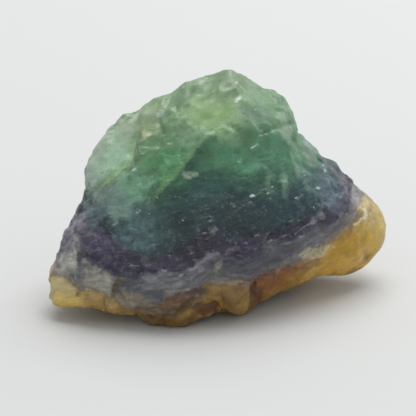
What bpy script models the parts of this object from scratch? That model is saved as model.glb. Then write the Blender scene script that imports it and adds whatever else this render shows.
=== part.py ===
"""A broken lump of banded fluorite at its natural size, resting on the low points of its underside.

The lump grew and broke as one piece, so it is one solid. A cage of corner points gives its main
form: the crown, the lobes, the ledges, the tooth and the hollows under it. Every corner lies in
its own direction from the heart of the lump, and neighbours in direction are joined. The cage is
then cut finer, trimmed flat where the stone broke, stepped along the planes in which fluorite
parts, dulled at its edges, roughened, and flattened where it stands.

Axes: +X to the right of the broad front face, +Y to the back, +Z up. The origin is under the
middle of the lump's box, on the surface it rests on.
"""

import math

import bmesh
import bpy
import numpy as np
from mathutils import Euler, Vector, noise

MM = 0.001

# Driving sizes, in millimetres and degrees.
HEART = (0.0, 0.0, 20.0)
PARTS_PER_SIDE = 5
SHARP_EDGE_DEG = 22.0
SOFTENING, SOFTENING_PASSES = 0.3, 1
LUMP_SIZE, LUMP_HEIGHT = 7.0, 0.35
KNAP_SIZE, KNAP_HEIGHT = 2.6, 0.18

# The front is laid out as the eye meets it, looking down on the lump: how far across from its
# middle, how far up from its lowest front edge, and how deep behind the middle, negative being
# nearer. Across and up are measured square to the line of sight, at the middle's distance.
LOOK_DOWN_DEG = 20.0
EYE_DISTANCE = 420.0
SIGHT_ACROSS, SIGHT_UP = -1.8, 23.6
FRONT_FOOT_DEPTH = -17.0

FRONT = {
    "crown skyline": [
        (-9.4, 46.5, 4.0), (-6.0, 49.0, 4.0), (-2.4, 50.1, 5.0), (2.8, 51.6, 4.0), (6.2, 49.8, 5.0),
        (10.0, 47.3, 6.0), (13.5, 45.7, 6.0), (15.2, 43.2, 6.0), (15.5, 39.4, 6.0),
    ],
    "crown front": [
        (-8.0, 42.5, -3.0), (-4.0, 46.5, -1.0), (-0.6, 43.0, -4.8), (2.8, 48.0, -1.0),
        (2.8, 44.6, -4.4), (5.0, 42.4, -4.4), (9.0, 42.4, -2.6), (12.9, 41.0, -0.2),
    ],
    "lip under the crown": [(7.4, 39.4, -5.8), (11.6, 38.2, -4.0), (14.2, 37.0, -1.6)],
    "knob": [
        (-14.0, 44.6, 3.0), (-11.4, 45.8, 3.0), (-14.6, 42.0, -0.2), (-11.4, 41.4, -1.8),
        (-14.8, 38.6, -2.6), (-11.8, 37.6, -4.4), (-9.4, 39.2, -5.2),
    ],
    "left lobe skyline": [
        (-15.9, 43.0, 5.0), (-19.0, 42.1, 5.0), (-21.9, 39.7, 4.0), (-24.5, 35.4, 2.0),
        (-25.9, 31.6, 0.0), (-26.3, 27.4, -2.0),
    ],
    "left lobe face": [
        (-17.6, 40.0, 0.6), (-21.0, 36.6, -0.4), (-18.0, 35.8, -2.0), (-22.4, 32.2, -2.8),
        (-18.4, 32.9, -4.6), (-21.0, 31.0, -5.2), (-24.2, 27.9, -4.6),
    ],
    "step beside the left lobe": [
        (-15.6, 35.4, -5.4), (-15.9, 32.0, -8.0), (-18.8, 29.2, -8.6), (-22.4, 26.2, -8.0),
    ],
    "slanting ridge": [
        (2.6, 40.0, -7.7), (-2.4, 37.0, -8.9), (-5.4, 34.0, -10.0), (-7.8, 31.0, -11.1),
        (-10.8, 26.6, -12.6),
    ],
    "face right of the ridge": [
        (4.6, 34.9, -7.2), (9.6, 33.6, -6.0), (-2.8, 30.4, -9.6), (4.2, 29.0, -10.0),
        (12.4, 30.4, -6.4), (-5.4, 27.2, -12.0),
    ],
    "face left of the ridge": [
        (-10.4, 33.6, -8.2), (-14.4, 27.2, -10.4), (-19.0, 25.2, -9.6), (-13.4, 21.4, -13.0),
        (-22.9, 21.6, -9.4), (-19.0, 19.2, -12.4), (-13.4, 17.4, -14.7),
    ],
    "broad front face": [
        (-3.4, 24.0, -13.4), (4.6, 21.6, -13.2), (-7.6, 19.6, -15.2), (-1.4, 18.8, -15.4),
        (12.6, 24.6, -9.4), (16.2, 28.8, -4.9), (20.6, 24.0, -4.6), (15.4, 20.2, -9.2),
    ],
    "right shoulder": [
        (16.4, 38.0, 5.0), (18.7, 36.8, 5.0), (21.4, 34.0, 6.0), (24.4, 32.5, 7.0),
        (27.0, 29.2, 8.0), (17.0, 34.4, 1.2), (20.4, 32.2, 1.6), (23.6, 28.4, 1.4),
    ],
    "left flank": [
        (-28.2, 23.2, -3.0), (-30.4, 19.6, -4.0), (-31.6, 15.4, -6.0), (-32.9, 13.0, -7.0),
        (-26.9, 20.4, -7.6), (-27.6, 15.4, -10.9),
    ],
    "rim of the dark layer": [
        (-23.4, 15.6, -12.7), (-18.4, 14.6, -15.2), (-12.4, 13.2, -17.2), (-3.4, 15.6, -16.7),
        (6.6, 16.8, -14.2), (25.4, 24.0, -1.2),
    ],
    "pale ledge": [
        (-30.4, 11.4, -12.2), (-24.6, 11.6, -15.2), (-21.2, 9.6, -16.9), (-20.9, 7.2, -16.8),
        (-19.2, 7.6, -16.3), (-17.2, 9.2, -17.9), (-10.4, 9.4, -18.8), (-4.4, 9.8, -18.4), (1.6, 12.2, -17.0),
        (8.6, 13.2, -14.6), (16.6, 15.6, -10.2), (23.6, 19.2, -4.9), (28.8, 23.6, 0.9),
    ],
    "left block": [
        (-34.0, 10.8, -9.0), (-34.0, 7.4, -10.6), (-33.5, 4.2, -12.2), (-27.4, 6.6, -14.6),
        (-30.2, 3.7, -13.4), (-26.0, 3.6, -14.8), (-22.6, 5.0, -16.2), (-22.2, 2.3, -15.4),
        (-18.4, 1.9, -15.8),
    ],
    "front foot": [
        (-16.0, 4.6, -17.0), (-15.8, 2.4, -15.0), (-13.9, 1.0, -15.6), (-10.4, 4.8, -19.2),
        (-5.0, 5.4, -18.2), (-11.4, 0.2, -16.7), (-8.0, 0.0, -17.0), (-5.6, 0.6, -16.2),
    ],
    "tooth": [
        (-3.0, 3.2, -12.0), (0.2, 7.6, -16.6), (3.8, 5.2, -15.2), (1.6, 3.1, -12.4),
        (4.8, 1.6, -12.2), (7.2, 7.4, -13.2), (6.8, 2.8, -11.0),
    ],
    "hollow beside the tooth": [
        (9.0, 4.4, -8.0), (11.6, 9.8, -10.2), (13.0, 6.4, -4.6), (17.0, 12.4, -7.4),
        (16.8, 8.0, -1.0),
    ],
    "right lobe": [
        (19.2, 9.9, 1.0), (22.6, 9.6, 1.6), (22.6, 13.2, -3.4), (27.4, 9.8, 3.4),
        (27.4, 13.0, -0.8), (29.9, 18.0, 2.2), (31.0, 12.2, 5.4), (33.4, 15.4, 7.4),
        (34.0, 19.6, 9.0), (33.2, 23.4, 10.0), (31.4, 26.0, 10.0), (29.2, 27.4, 9.0),
    ],
}

# The back and the underside are laid out in the lump's own axes: X, Y and Z.
BEHIND = {
    "crown back": [
        (0.0, 10.5, 43.8), (8.0, 11.5, 40.0), (-8.0, 10.5, 41.0), (-18.0, 11.5, 33.5),
        (-9.0, 16.5, 36.5), (0.0, 18.0, 37.5), (9.0, 17.0, 34.5), (16.0, 13.0, 31.0),
    ],
    "back faces": [
        (-23.5, 9.0, 25.0), (-17.0, 17.0, 26.0), (-8.0, 21.5, 27.5), (2.0, 23.0, 28.0),
        (11.0, 21.0, 26.0), (20.0, 15.0, 24.0),
    ],
    "back ledge": [
        (-27.5, 4.0, 17.0), (-24.0, 13.0, 16.0), (-14.0, 20.5, 17.0), (-4.0, 24.5, 18.0),
        (6.0, 25.5, 17.0), (15.0, 21.5, 16.0), (24.0, 17.0, 16.0), (30.0, 15.5, 15.0),
    ],
    "back skirt": [
        (-29.0, 2.0, 10.0), (-25.5, 11.0, 8.0), (-17.0, 18.0, 8.0), (-7.0, 22.5, 9.0),
        (3.0, 24.0, 8.0), (13.0, 20.5, 8.0), (22.0, 18.5, 8.0),
        (-22.0, 8.0, 3.5), (-16.0, 14.0, 2.0), (-8.0, 17.0, 3.0), (2.0, 19.0, 3.0),
        (11.0, 17.5, 2.0), (19.0, 14.0, 3.0), (25.0, 9.0, 4.0),
    ],
    "back of the right lobe": [
        (33.4, 13.5, 12.5), (31.5, 18.0, 11.5), (31.0, 16.5, 6.5),
    ],
    "back of the left block": [
        (-33.0, -4.0, 5.5), (-31.6, -2.0, 9.2), (-30.0, 1.0, 4.0),
    ],
    "rests": [
        (-9.0, -13.0, -0.8), (-12.0, -13.0, -0.4), (4.5, -9.0, -0.6), (-15.0, 9.0, -0.8),
        (-13.0, 12.5, -0.8), (12.0, 13.0, -0.8), (14.0, 10.0, -0.8),
    ],
    "hollows under it": [
        (-4.0, -4.0, 2.5), (6.0, 0.0, 2.8), (-14.0, -3.0, 3.0), (0.0, 8.0, 2.5),
        (20.0, 6.0, 2.6), (-24.0, -6.0, 4.0), (-22.0, 4.0, 3.0),
    ],
}

# Fluorite parts flat along the faces of an octahedron. Each break is the octahedron face it
# follows, how far it strays from that face in degrees, up and round, and how far it is from the
# heart.
OCTAHEDRON = [(x, y, z) for x in (1, -1) for y in (1, -1) for z in (1, -1)]
CRYSTAL_TURN_DEG = (-3.0, 9.0, 51.0)
BREAKS = [
    ((1, 1, 1), (0.0, 0.0), 20.9),
    ((1, 1, 1), (-16.0, -8.0), 22.0),
    ((1, 1, 1), (4.0, 24.0), 20.6),
    ((1, 1, 1), (-11.0, -26.0), 22.8),
    ((1, 1, -1), (0.0, 0.0), 23.6),
    ((1, 1, -1), (10.0, 20.0), 24.6),
    ((1, 1, -1), (13.0, -27.0), 23.9),
    ((-1, 1, 1), (-22.0, -34.0), 26.2),
    ((-1, -1, 1), (0.0, 0.0), 16.2),
    ((-1, -1, -1), (6.0, 8.0), 23.4),
]

# Steps left where the stone parted on one octahedron face after another.
STEP_HEIGHT, STEP_RISER, STEP_LIFT = 1.3, 0.35, 0.2
STEP_WANDER, STEP_WANDER_SIZE = 0.8, 9.0
STEP_FACING = (0.8, 0.96)

# Surface, from the green middle of the lump in the photograph.
BASE_COLOUR = (0.16, 0.30, 0.22, 1.0)
ROUGHNESS = 0.42
TRANSMISSION = 0.35
FLUORITE_IOR = 1.434


def clear_scene():
    for obj in list(bpy.data.objects):
        bpy.data.objects.remove(obj)


def from_sight(across, up, depth):
    """The point at this depth on the line of sight that meets the picture plane at across, up."""
    tilt = math.radians(LOOK_DOWN_DEG)
    ahead = Vector((0.0, math.cos(tilt), -math.sin(tilt)))
    upward = Vector((0.0, math.sin(tilt), math.cos(tilt)))
    middle_height = (SIGHT_UP + FRONT_FOOT_DEPTH * math.sin(tilt)) / math.cos(tilt)
    middle = Vector((SIGHT_ACROSS, 0.0, middle_height))
    eye = middle - ahead * EYE_DISTANCE
    ray = ahead * EYE_DISTANCE + Vector((across - SIGHT_ACROSS, 0.0, 0.0)) + upward * (up - SIGHT_UP)
    return eye + ray * ((depth - eye.y) / ray.y)


def cage_corners():
    """Every corner of the cage, measured from the heart."""
    front = [from_sight(*corner) for group in FRONT.values() for corner in group]
    behind = [Vector(corner) for group in BEHIND.values() for corner in group]
    return np.array([corner - Vector(HEART) for corner in front + behind])


def unit(vectors):
    return vectors / np.linalg.norm(vectors, axis=-1, keepdims=True)


def cage_faces(corners):
    """The triangles that join corners which are neighbours as seen from the heart."""
    ball = bmesh.new()
    for place in unit(corners):
        ball.verts.new(place)
    ball.verts.index_update()
    bmesh.ops.convex_hull(ball, input=ball.verts)
    faces = np.array([[v.index for v in face.verts] for face in ball.faces])
    ball.free()
    a, b, c = (corners[faces[:, i]] for i in range(3))
    inward = np.einsum("ij,ij->i", np.cross(b - a, c - a), a) < 0
    faces[inward] = faces[inward][:, ::-1]
    return faces


def fine_cage(corners, faces):
    """Points and triangles of the cage with each side cut into equal parts."""
    cage = bmesh.new()
    for place in corners:
        cage.verts.new(place)
    cage.verts.ensure_lookup_table()
    for face in faces:
        cage.faces.new([cage.verts[i] for i in face])
    bmesh.ops.subdivide_edges(cage, edges=cage.edges, cuts=PARTS_PER_SIDE - 1, use_grid_fill=True)
    bmesh.ops.triangulate(cage, faces=cage.faces)
    cage.verts.index_update()
    places = np.array([v.co for v in cage.verts])
    triangles = np.array([[v.index for v in face.verts] for face in cage.faces])
    cage.free()
    return places, triangles


def softened(places, triangles):
    """Draws each point a little way towards the middle of its neighbours, which dulls the edges."""
    starts = triangles.ravel()
    ends = np.roll(triangles, -1, axis=1).ravel()
    count = np.bincount(starts, minlength=len(places))[:, None]
    for _ in range(SOFTENING_PASSES):
        total = np.zeros_like(places)
        np.add.at(total, starts, places[ends])
        places = places + (total / count - places) * SOFTENING
    return places


def crystal_turn():
    pitch, lean, turn = (math.radians(angle) for angle in CRYSTAL_TURN_DEG)
    turned = Euler((0.0, lean, 0.0)).to_matrix() @ Euler((0.0, 0.0, turn)).to_matrix()
    return Euler((pitch, 0.0, 0.0)).to_matrix() @ turned


def break_planes():
    """Direction and distance of each flat break."""
    directions = []
    for face, (up, around), _ in BREAKS:
        facing = (crystal_turn() @ Vector(face)).normalized()
        height = math.asin(facing.z) + math.radians(up)
        compass = math.atan2(facing.y, facing.x) + math.radians(around)
        level = math.cos(height)
        directions.append((level * math.cos(compass), level * math.sin(compass), math.sin(height)))
    return np.array(directions), np.array([distance for _, _, distance in BREAKS])


def broken_flat(places):
    """Draws whatever stands proud of a flat break back to it, along the line to the heart."""
    directions, distances = break_planes()
    proud = (places @ directions.T) / distances
    return places / np.maximum(proud.max(axis=1), 1.0)[:, None]


def vertex_normals(places, triangles):
    """Outward normals at the points."""
    a, b, c = (places[triangles[:, i]] for i in range(3))
    facing = np.cross(b - a, c - a)
    total = np.zeros_like(places)
    for i in range(3):
        np.add.at(total, triangles[:, i], facing)
    return unit(total)


def smooth_rise(value, low, high):
    part = np.clip((value - low) / (high - low), 0.0, 1.0)
    return part * part * (3.0 - 2.0 * part)


def stepped(places, triangles):
    """Draws each side of the lump to a stack of planes along the octahedron face that it faces."""
    normals = vertex_normals(places, triangles)
    wander = np.array([noise.noise(Vector(p) / STEP_WANDER_SIZE) for p in places]) * STEP_WANDER
    moved = np.zeros_like(places)
    for face in OCTAHEDRON:
        facing = np.array((crystal_turn() @ Vector(face)).normalized())
        height = places @ facing
        level = height / STEP_HEIGHT + wander
        riser = smooth_rise(level - np.floor(level), 1.0 - STEP_RISER, 1.0)
        shift = (np.floor(level) + riser - level + STEP_LIFT) * STEP_HEIGHT
        share = smooth_rise(normals @ facing, *STEP_FACING)
        moved += np.outer(shift * share, facing)
    return places + moved


def lumps(places):
    """Broad swells and smaller knapped scoops, as heights along the direction from the heart."""
    swell = [noise.noise(Vector(p) / LUMP_SIZE) * LUMP_HEIGHT for p in places]
    knap = [noise.noise(Vector(p) / KNAP_SIZE + Vector((7, 3, 1))) * KNAP_HEIGHT for p in places]
    return np.array(swell) + np.array(knap)


def stand_flat(places):
    """Brings what lies below the resting plane up to it, along the line to the heart."""
    below = places[:, 2] < -HEART[2]
    places[below] *= (-HEART[2] / places[below, 2])[:, None]
    return places


def lump_surface():
    """Points and triangles of the whole surface in millimetres, and where its middle was before."""
    corners = cage_corners()
    places, triangles = fine_cage(corners, cage_faces(corners))
    places = stepped(broken_flat(places), triangles)
    places = softened(places, triangles)
    places += unit(places) * lumps(places)[:, None]
    places = stand_flat(places) + np.array(HEART)
    middle = (places.min(axis=0) + places.max(axis=0)) / 2
    places[:, :2] -= middle[:2]
    return places, triangles, middle


def fluorite_material():
    material = bpy.data.materials.new("banded_fluorite")
    material.use_nodes = True
    shader = material.node_tree.nodes["Principled BSDF"]
    shader.inputs["Base Color"].default_value = BASE_COLOUR
    shader.inputs["Roughness"].default_value = ROUGHNESS
    shader.inputs["Metallic"].default_value = 0.0
    shader.inputs["Transmission Weight"].default_value = TRANSMISSION
    shader.inputs["IOR"].default_value = FLUORITE_IOR
    return material


def build_lump():
    places, triangles, _ = lump_surface()
    mesh = bpy.data.meshes.new("fluorite_lump")
    mesh.from_pydata((places * MM).tolist(), [], triangles.tolist())
    mesh.materials.append(fluorite_material())
    mesh.shade_smooth()
    mesh.set_sharp_from_angle(angle=math.radians(SHARP_EDGE_DEG))
    lump = bpy.data.objects.new("fluorite_lump", mesh)
    bpy.context.scene.collection.objects.link(lump)
    return lump


def main():
    clear_scene()
    build_lump()


if __name__ == "__main__":
    main()
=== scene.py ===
"""Looks for a rough lump of banded fluorite: its broken surface, its colour layers and a studio.

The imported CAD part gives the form. A finer surface is laid over it, broken into small cleavage
steps, scoops and chips, and coloured by the layers in which the crystal grew, with named
patches, lines and edges over them. Sizes are in millimetres in the part's own axes: +X right of
the broad front face, +Y to the back, +Z up.
"""

import itertools
import logging
import math
from dataclasses import dataclass
from enum import Enum

import bpy
import numpy as np
from mathutils import Euler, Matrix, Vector
from mathutils.bvhtree import BVHTree

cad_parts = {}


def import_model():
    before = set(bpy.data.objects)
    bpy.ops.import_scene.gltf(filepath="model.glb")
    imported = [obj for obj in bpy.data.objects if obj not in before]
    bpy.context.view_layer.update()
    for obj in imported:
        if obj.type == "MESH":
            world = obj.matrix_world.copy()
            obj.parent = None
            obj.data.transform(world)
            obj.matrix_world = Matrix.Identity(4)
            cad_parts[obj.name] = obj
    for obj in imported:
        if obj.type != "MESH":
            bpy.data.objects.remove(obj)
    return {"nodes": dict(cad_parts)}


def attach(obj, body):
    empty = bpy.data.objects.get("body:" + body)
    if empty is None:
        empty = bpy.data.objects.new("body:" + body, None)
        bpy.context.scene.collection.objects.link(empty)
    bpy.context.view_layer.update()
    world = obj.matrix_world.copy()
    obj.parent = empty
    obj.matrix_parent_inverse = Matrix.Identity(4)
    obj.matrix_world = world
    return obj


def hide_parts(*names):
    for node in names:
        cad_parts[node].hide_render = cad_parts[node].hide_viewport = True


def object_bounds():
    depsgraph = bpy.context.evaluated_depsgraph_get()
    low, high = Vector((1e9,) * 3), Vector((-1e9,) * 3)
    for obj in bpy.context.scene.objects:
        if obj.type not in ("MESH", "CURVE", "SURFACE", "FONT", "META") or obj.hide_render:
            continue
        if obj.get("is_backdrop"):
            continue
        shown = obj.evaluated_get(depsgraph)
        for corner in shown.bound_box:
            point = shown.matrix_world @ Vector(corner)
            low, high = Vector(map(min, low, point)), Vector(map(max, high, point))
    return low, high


MM = 0.001
LOG = logging.getLogger("banded_fluorite")

Pair = tuple[float, float]
Triple = tuple[float, float, float]
Quad = tuple[float, float, float, float]
Route = tuple[Pair, ...]
Socket = bpy.types.NodeSocket
Feed = Socket | float | Triple | Quad

# Noise is multiplied by this, which brings it to about -1 to 1.
NOISE_GAIN = 1.7
# The height of all growth layers together, in millimetres.
LAYERS_HEIGHT = 45.0
# The stretch and the turn that leave a place as it is.
EVEN: Triple = (1.0, 1.0, 1.0)
UPRIGHT: Triple = (0.0, 0.0, 0.0)
# Stands in for the colour of a place that has none.
NO_COLOUR: Triple = (0.0, 0.0, 0.0)


def smooth_rise(value: np.ndarray, low: float, high: float) -> np.ndarray:
    """Rises from 0 at low to 1 at high along an S curve, three parts square less two parts cube.

    Args:
        value: the numbers to place between low and high.
        low: where the curve leaves 0.
        high: where the curve reaches 1.

    Returns:
        Numbers from 0 to 1, in the shape of value.
    """
    part = np.clip((value - low) / (high - low), 0.0, 1.0)
    return part * part * (3.0 - 2.0 * part)


def unit(vectors: np.ndarray) -> np.ndarray:
    """Returns the vectors at length one."""
    return vectors / np.maximum(np.linalg.norm(vectors, axis=-1, keepdims=True), 1e-12)


def hashed(cells: np.ndarray, salt: int) -> np.ndarray:
    """Scrambles whole-number cells of space into numbers from 0 to 1, the same on each run.

    Each cell's three numbers are multiplied by large odd numbers and combined bit by bit, and
    the result is shifted and multiplied twice more.

    Args:
        cells: whole numbers, three to a cell.
        salt: a whole number that gives another scramble.

    Returns:
        One number from 0 to 1 for each cell.
    """
    words = cells.astype(np.int64).astype(np.uint32)
    mixed = words[..., 0] * np.uint32(0x8DA6B343)
    mixed ^= words[..., 1] * np.uint32(0xD8163841)
    mixed ^= words[..., 2] * np.uint32(0xCB1AB31F)
    mixed ^= np.uint32((salt * 0x9E3779B1) & 0xFFFFFFFF)
    for shift, factor in ((15, 0x2C1B3C6D), (12, 0x297A2D39)):
        mixed ^= mixed >> np.uint32(shift)
        mixed *= np.uint32(factor)
    mixed ^= mixed >> np.uint32(15)
    return mixed / 2.0**32


def smooth_noise(points: np.ndarray, size: float, salt: int) -> np.ndarray:
    """Gives soft noise from about -1 to 1 whose swells are about one size across.

    Each corner of the cell round a point has its own slope. The eight slopes, followed to the
    point, are blended by the point's place in the cell, eased at both ends.

    Args:
        points: places in millimetres, three numbers each.
        size: the distance over which the noise changes, in millimetres.
        salt: a whole number that gives another noise.

    Returns:
        One number for each point.
    """
    scaled = points / size
    cells = np.floor(scaled)
    part = scaled - cells
    eased = part**3 * (part * (part * 6.0 - 15.0) + 10.0)
    total = np.zeros(len(points))
    for corner in itertools.product((0, 1), repeat=3):
        corner_cells = cells + corner
        slopes = np.stack([hashed(corner_cells, salt * 3 + i) for i in range(3)], axis=-1) * 2.0 - 1.0
        reach = np.einsum("ij,ij->i", part - corner, slopes)
        total += reach * np.prod(np.where(corner, eased, 1.0 - eased), axis=1)
    return total * NOISE_GAIN


def layered_noise(points: np.ndarray, size: float, salt: int, layers: int = 3) -> np.ndarray:
    """Gives soft noise with finer noise on it, each layer half the size and half the height."""
    return sum(smooth_noise(points, size / 2**i, salt + i * 17) / 2**i for i in range(layers))


def jostled(points: np.ndarray, size: float, salt: int, reach: float) -> np.ndarray:
    """Moves points about by soft noise of their own along each axis.

    Args:
        points: places in millimetres.
        size: the distance over which the noise changes.
        salt: a whole number that gives another noise.
        reach: how far they move at most.

    Returns:
        The new places.
    """
    push = [smooth_noise(points, size, salt + i) for i in range(3)]
    return points + np.stack(push, axis=-1) * reach


@dataclass(frozen=True)
class Cells:
    """Space parted into uneven cells, each round its own middle.

    Attributes:
        size: distance between middles, in millimetres.
        salt: a whole number that gives another parting.
        margin: how near a middle comes to the sides of its cube, as a share of it.
    """

    size: float
    salt: int
    margin: float = 0.1

    def parted(self, points: np.ndarray) -> tuple[np.ndarray, np.ndarray]:
        """Finds each point's cell.

        The middle of each cell is at a scrambled place in its cube. The nearest of the 27 middles
        round a point is its own.

        Args:
            points: places in millimetres.

        Returns:
            The offset from the cell's middle and the cell's numbers.
        """
        scaled = points / self.size
        home = np.floor(scaled)
        nearest = np.full(len(points), np.inf)
        offset = np.zeros_like(points)
        own = np.zeros_like(points)
        for step in itertools.product((-1, 0, 1), repeat=3):
            cell = home + step
            jitter = np.stack([hashed(cell, self.salt * 5 + i) for i in range(3)], axis=-1)
            away = scaled - (cell + self.margin + (1.0 - 2.0 * self.margin) * jitter)
            distance = np.linalg.norm(away, axis=1)
            closer = distance < nearest
            nearest = np.where(closer, distance, nearest)
            offset[closer] = away[closer]
            own[closer] = cell[closer]
        return offset * self.size, own


@dataclass(frozen=True)
class Sight:
    """The line of sight that the front of the stone is laid out by.

    Attributes:
        look_down_deg: how far the eye looks down.
        distance: from the eye to the aim, in millimetres.
        aim: the point looked at, in the part's axes.
        middle: across and up of the aim on the picture plane.
        width: how much of the picture plane the frame takes in.
    """

    look_down_deg: float = 20.0
    distance: float = 420.0
    aim: Triple = (-2.45, -2.71, 18.93)
    middle: Pair = (-1.8, 23.6)
    width: float = 83.2

    def axes(self) -> tuple[np.ndarray, np.ndarray, np.ndarray]:
        """Works out the picture plane's directions from how far the eye looks down.

        Returns:
            The directions right, up and ahead as the eye has them.
        """
        tilt = math.radians(self.look_down_deg)
        right = np.array((1.0, 0.0, 0.0))
        upward = np.array((0.0, math.sin(tilt), math.cos(tilt)))
        ahead = np.array((0.0, math.cos(tilt), -math.sin(tilt)))
        return right, upward, ahead

    def eye(self) -> np.ndarray:
        """Returns where the eye is."""
        return np.array(self.aim) - self.axes()[2] * self.distance

    def seen(self, points: np.ndarray) -> np.ndarray:
        """Gives points as the eye meets them.

        Args:
            points: places in the part's axes.

        Returns:
            Across and up on the picture plane and the distance ahead of the eye.
        """
        right, upward, ahead = self.axes()
        ray = points - self.eye()
        away = ray @ ahead
        scale = self.distance / away
        across = self.middle[0] + (ray @ right) * scale
        up = self.middle[1] + (ray @ upward) * scale
        return np.stack((across, up, away), axis=-1)

    def met(self, route: Route, part: bpy.types.Object) -> np.ndarray:
        """Finds where the lines of sight through places on the picture plane meet a part.

        Args:
            route: places across and up the picture plane.
            part: the part. Lines of sight that miss it are left out.

        Returns:
            The places that they meet, in millimetres.
        """
        right, upward, ahead = self.axes()
        tree = BVHTree.FromObject(part, bpy.context.evaluated_depsgraph_get())
        rays = (np.array(route) - self.middle) @ np.stack((right, upward)) + ahead * self.distance
        hits = [tree.ray_cast(Vector(self.eye()) * MM, Vector(ray))[0] for ray in rays]
        return np.array([hit for hit in hits if hit is not None]) / MM


@dataclass(frozen=True)
class Crystal:
    """How the crystal lies in the lump: fluorite parts along the eight faces of an octahedron.

    Attributes:
        turn_deg: pitch, lean and turn of the octahedron, as in the CAD part.
    """

    turn_deg: Triple = (-3.0, 9.0, 51.0)

    def faces(self) -> np.ndarray:
        """Turns the corners of a cube, which lie where an octahedron has its faces.

        Returns:
            The outward directions of the eight faces.
        """
        pitch, lean, turn = (math.radians(angle) for angle in self.turn_deg)
        turned = Euler((0.0, lean, 0.0)).to_matrix() @ Euler((0.0, 0.0, turn)).to_matrix()
        turned = np.array(Euler((pitch, 0.0, 0.0)).to_matrix() @ turned)
        corners = np.array(list(itertools.product((1.0, -1.0), repeat=3)))
        return unit(corners @ turned.T)


@dataclass(frozen=True)
class Steps:
    """A family of cleavage steps.

    Attributes:
        height: of one step, in millimetres.
        riser: share of each step that its riser takes.
        wander: how far the step lines stray, in steps.
        wander_size: over what distance they stray.
        facing: how nearly a side faces the cleavage before it steps, from not at all to fully.
        amount: share of the full step that is cut.
        salt: a whole number that gives another wander.
    """

    height: float
    riser: float
    wander: float
    wander_size: float
    facing: Pair
    amount: float
    salt: int

    def shift(self, points: np.ndarray, normals: np.ndarray, faces: np.ndarray) -> np.ndarray:
        """Works out how far each point moves so that each side becomes a stack of planes.

        The height along a face's direction, counted in steps and wandering a little, is brought
        down to a whole number plus an eased riser. The move goes along that direction, by the
        share with which the side faces it.

        Args:
            points: places in millimetres.
            normals: outward directions of the surface.
            faces: the cleavage directions.

        Returns:
            The move of each point.
        """
        moved = np.zeros_like(points)
        for number, face in enumerate(faces):
            stray = layered_noise(points, self.wander_size, self.salt + number * 7, layers=2)
            level = points @ face / self.height + stray * self.wander
            part = level - np.floor(level)
            rise = smooth_rise(part, 1.0 - self.riser, 1.0) - part
            share = smooth_rise(normals @ face, *self.facing) * self.amount
            moved += np.outer((rise + 0.5) * self.height * share, face)
        return moved


@dataclass(frozen=True)
class Scoops:
    """Shallow hollows with crisp ridges between them, as struck stone has.

    Attributes:
        size: of one hollow, in millimetres.
        depth: of one hollow.
        stray: how far the ridges wander.
        salt: a whole number that gives another set of hollows.
        rim: square of the distance, in sizes, at which the rise ends.
        steep: how fast the height rises with that square.
        sink: how deep the middle of a hollow lies, in depths.
    """

    size: float
    depth: float
    stray: float
    salt: int
    rim: float = 0.8
    steep: float = 2.2
    sink: float = 0.55

    def height(self, points: np.ndarray) -> np.ndarray:
        """Works out how far the surface stands up, or lies down if below 0.

        The height rises with the square of the distance from the middle of each hollow, up to the
        rim, and is multiplied by the hollow's own number from a half to one and a half.

        Args:
            points: places in millimetres.

        Returns:
            The height at each point.
        """
        strayed = jostled(points, self.size * 0.6, self.salt + 60, self.stray)
        offset, own = Cells(self.size, self.salt).parted(strayed)
        reach = np.einsum("ij,ij->i", offset, offset) / self.size**2
        rise = np.minimum(reach, self.rim) * self.steep - self.sink
        return self.depth * rise * (0.5 + hashed(own, self.salt + 9))


@dataclass(frozen=True)
class Hackle:
    """Small flat chips, each tilted its own way.

    Attributes:
        size: of one chip, in millimetres.
        tilt: steepness of the chips.
        salt: a whole number that gives another set of chips.
        stray: how far their borders wander, in sizes.
    """

    size: float
    tilt: float
    salt: int
    stray: float = 0.3

    def height(self, points: np.ndarray) -> np.ndarray:
        """Works out how far the surface stands up, or lies down if below 0.

        The height rises along each chip's own slope, from the middle of the chip.

        Args:
            points: places in millimetres.

        Returns:
            The height at each point.
        """
        strayed = jostled(points, self.size * 0.7, self.salt + 80, self.size * self.stray)
        offset, own = Cells(self.size, self.salt).parted(strayed)
        slope = np.stack([hashed(own, self.salt + 30 + i) for i in range(3)], axis=-1) * 2.0 - 1.0
        return np.einsum("ij,ij->i", offset, slope) * self.tilt


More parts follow.
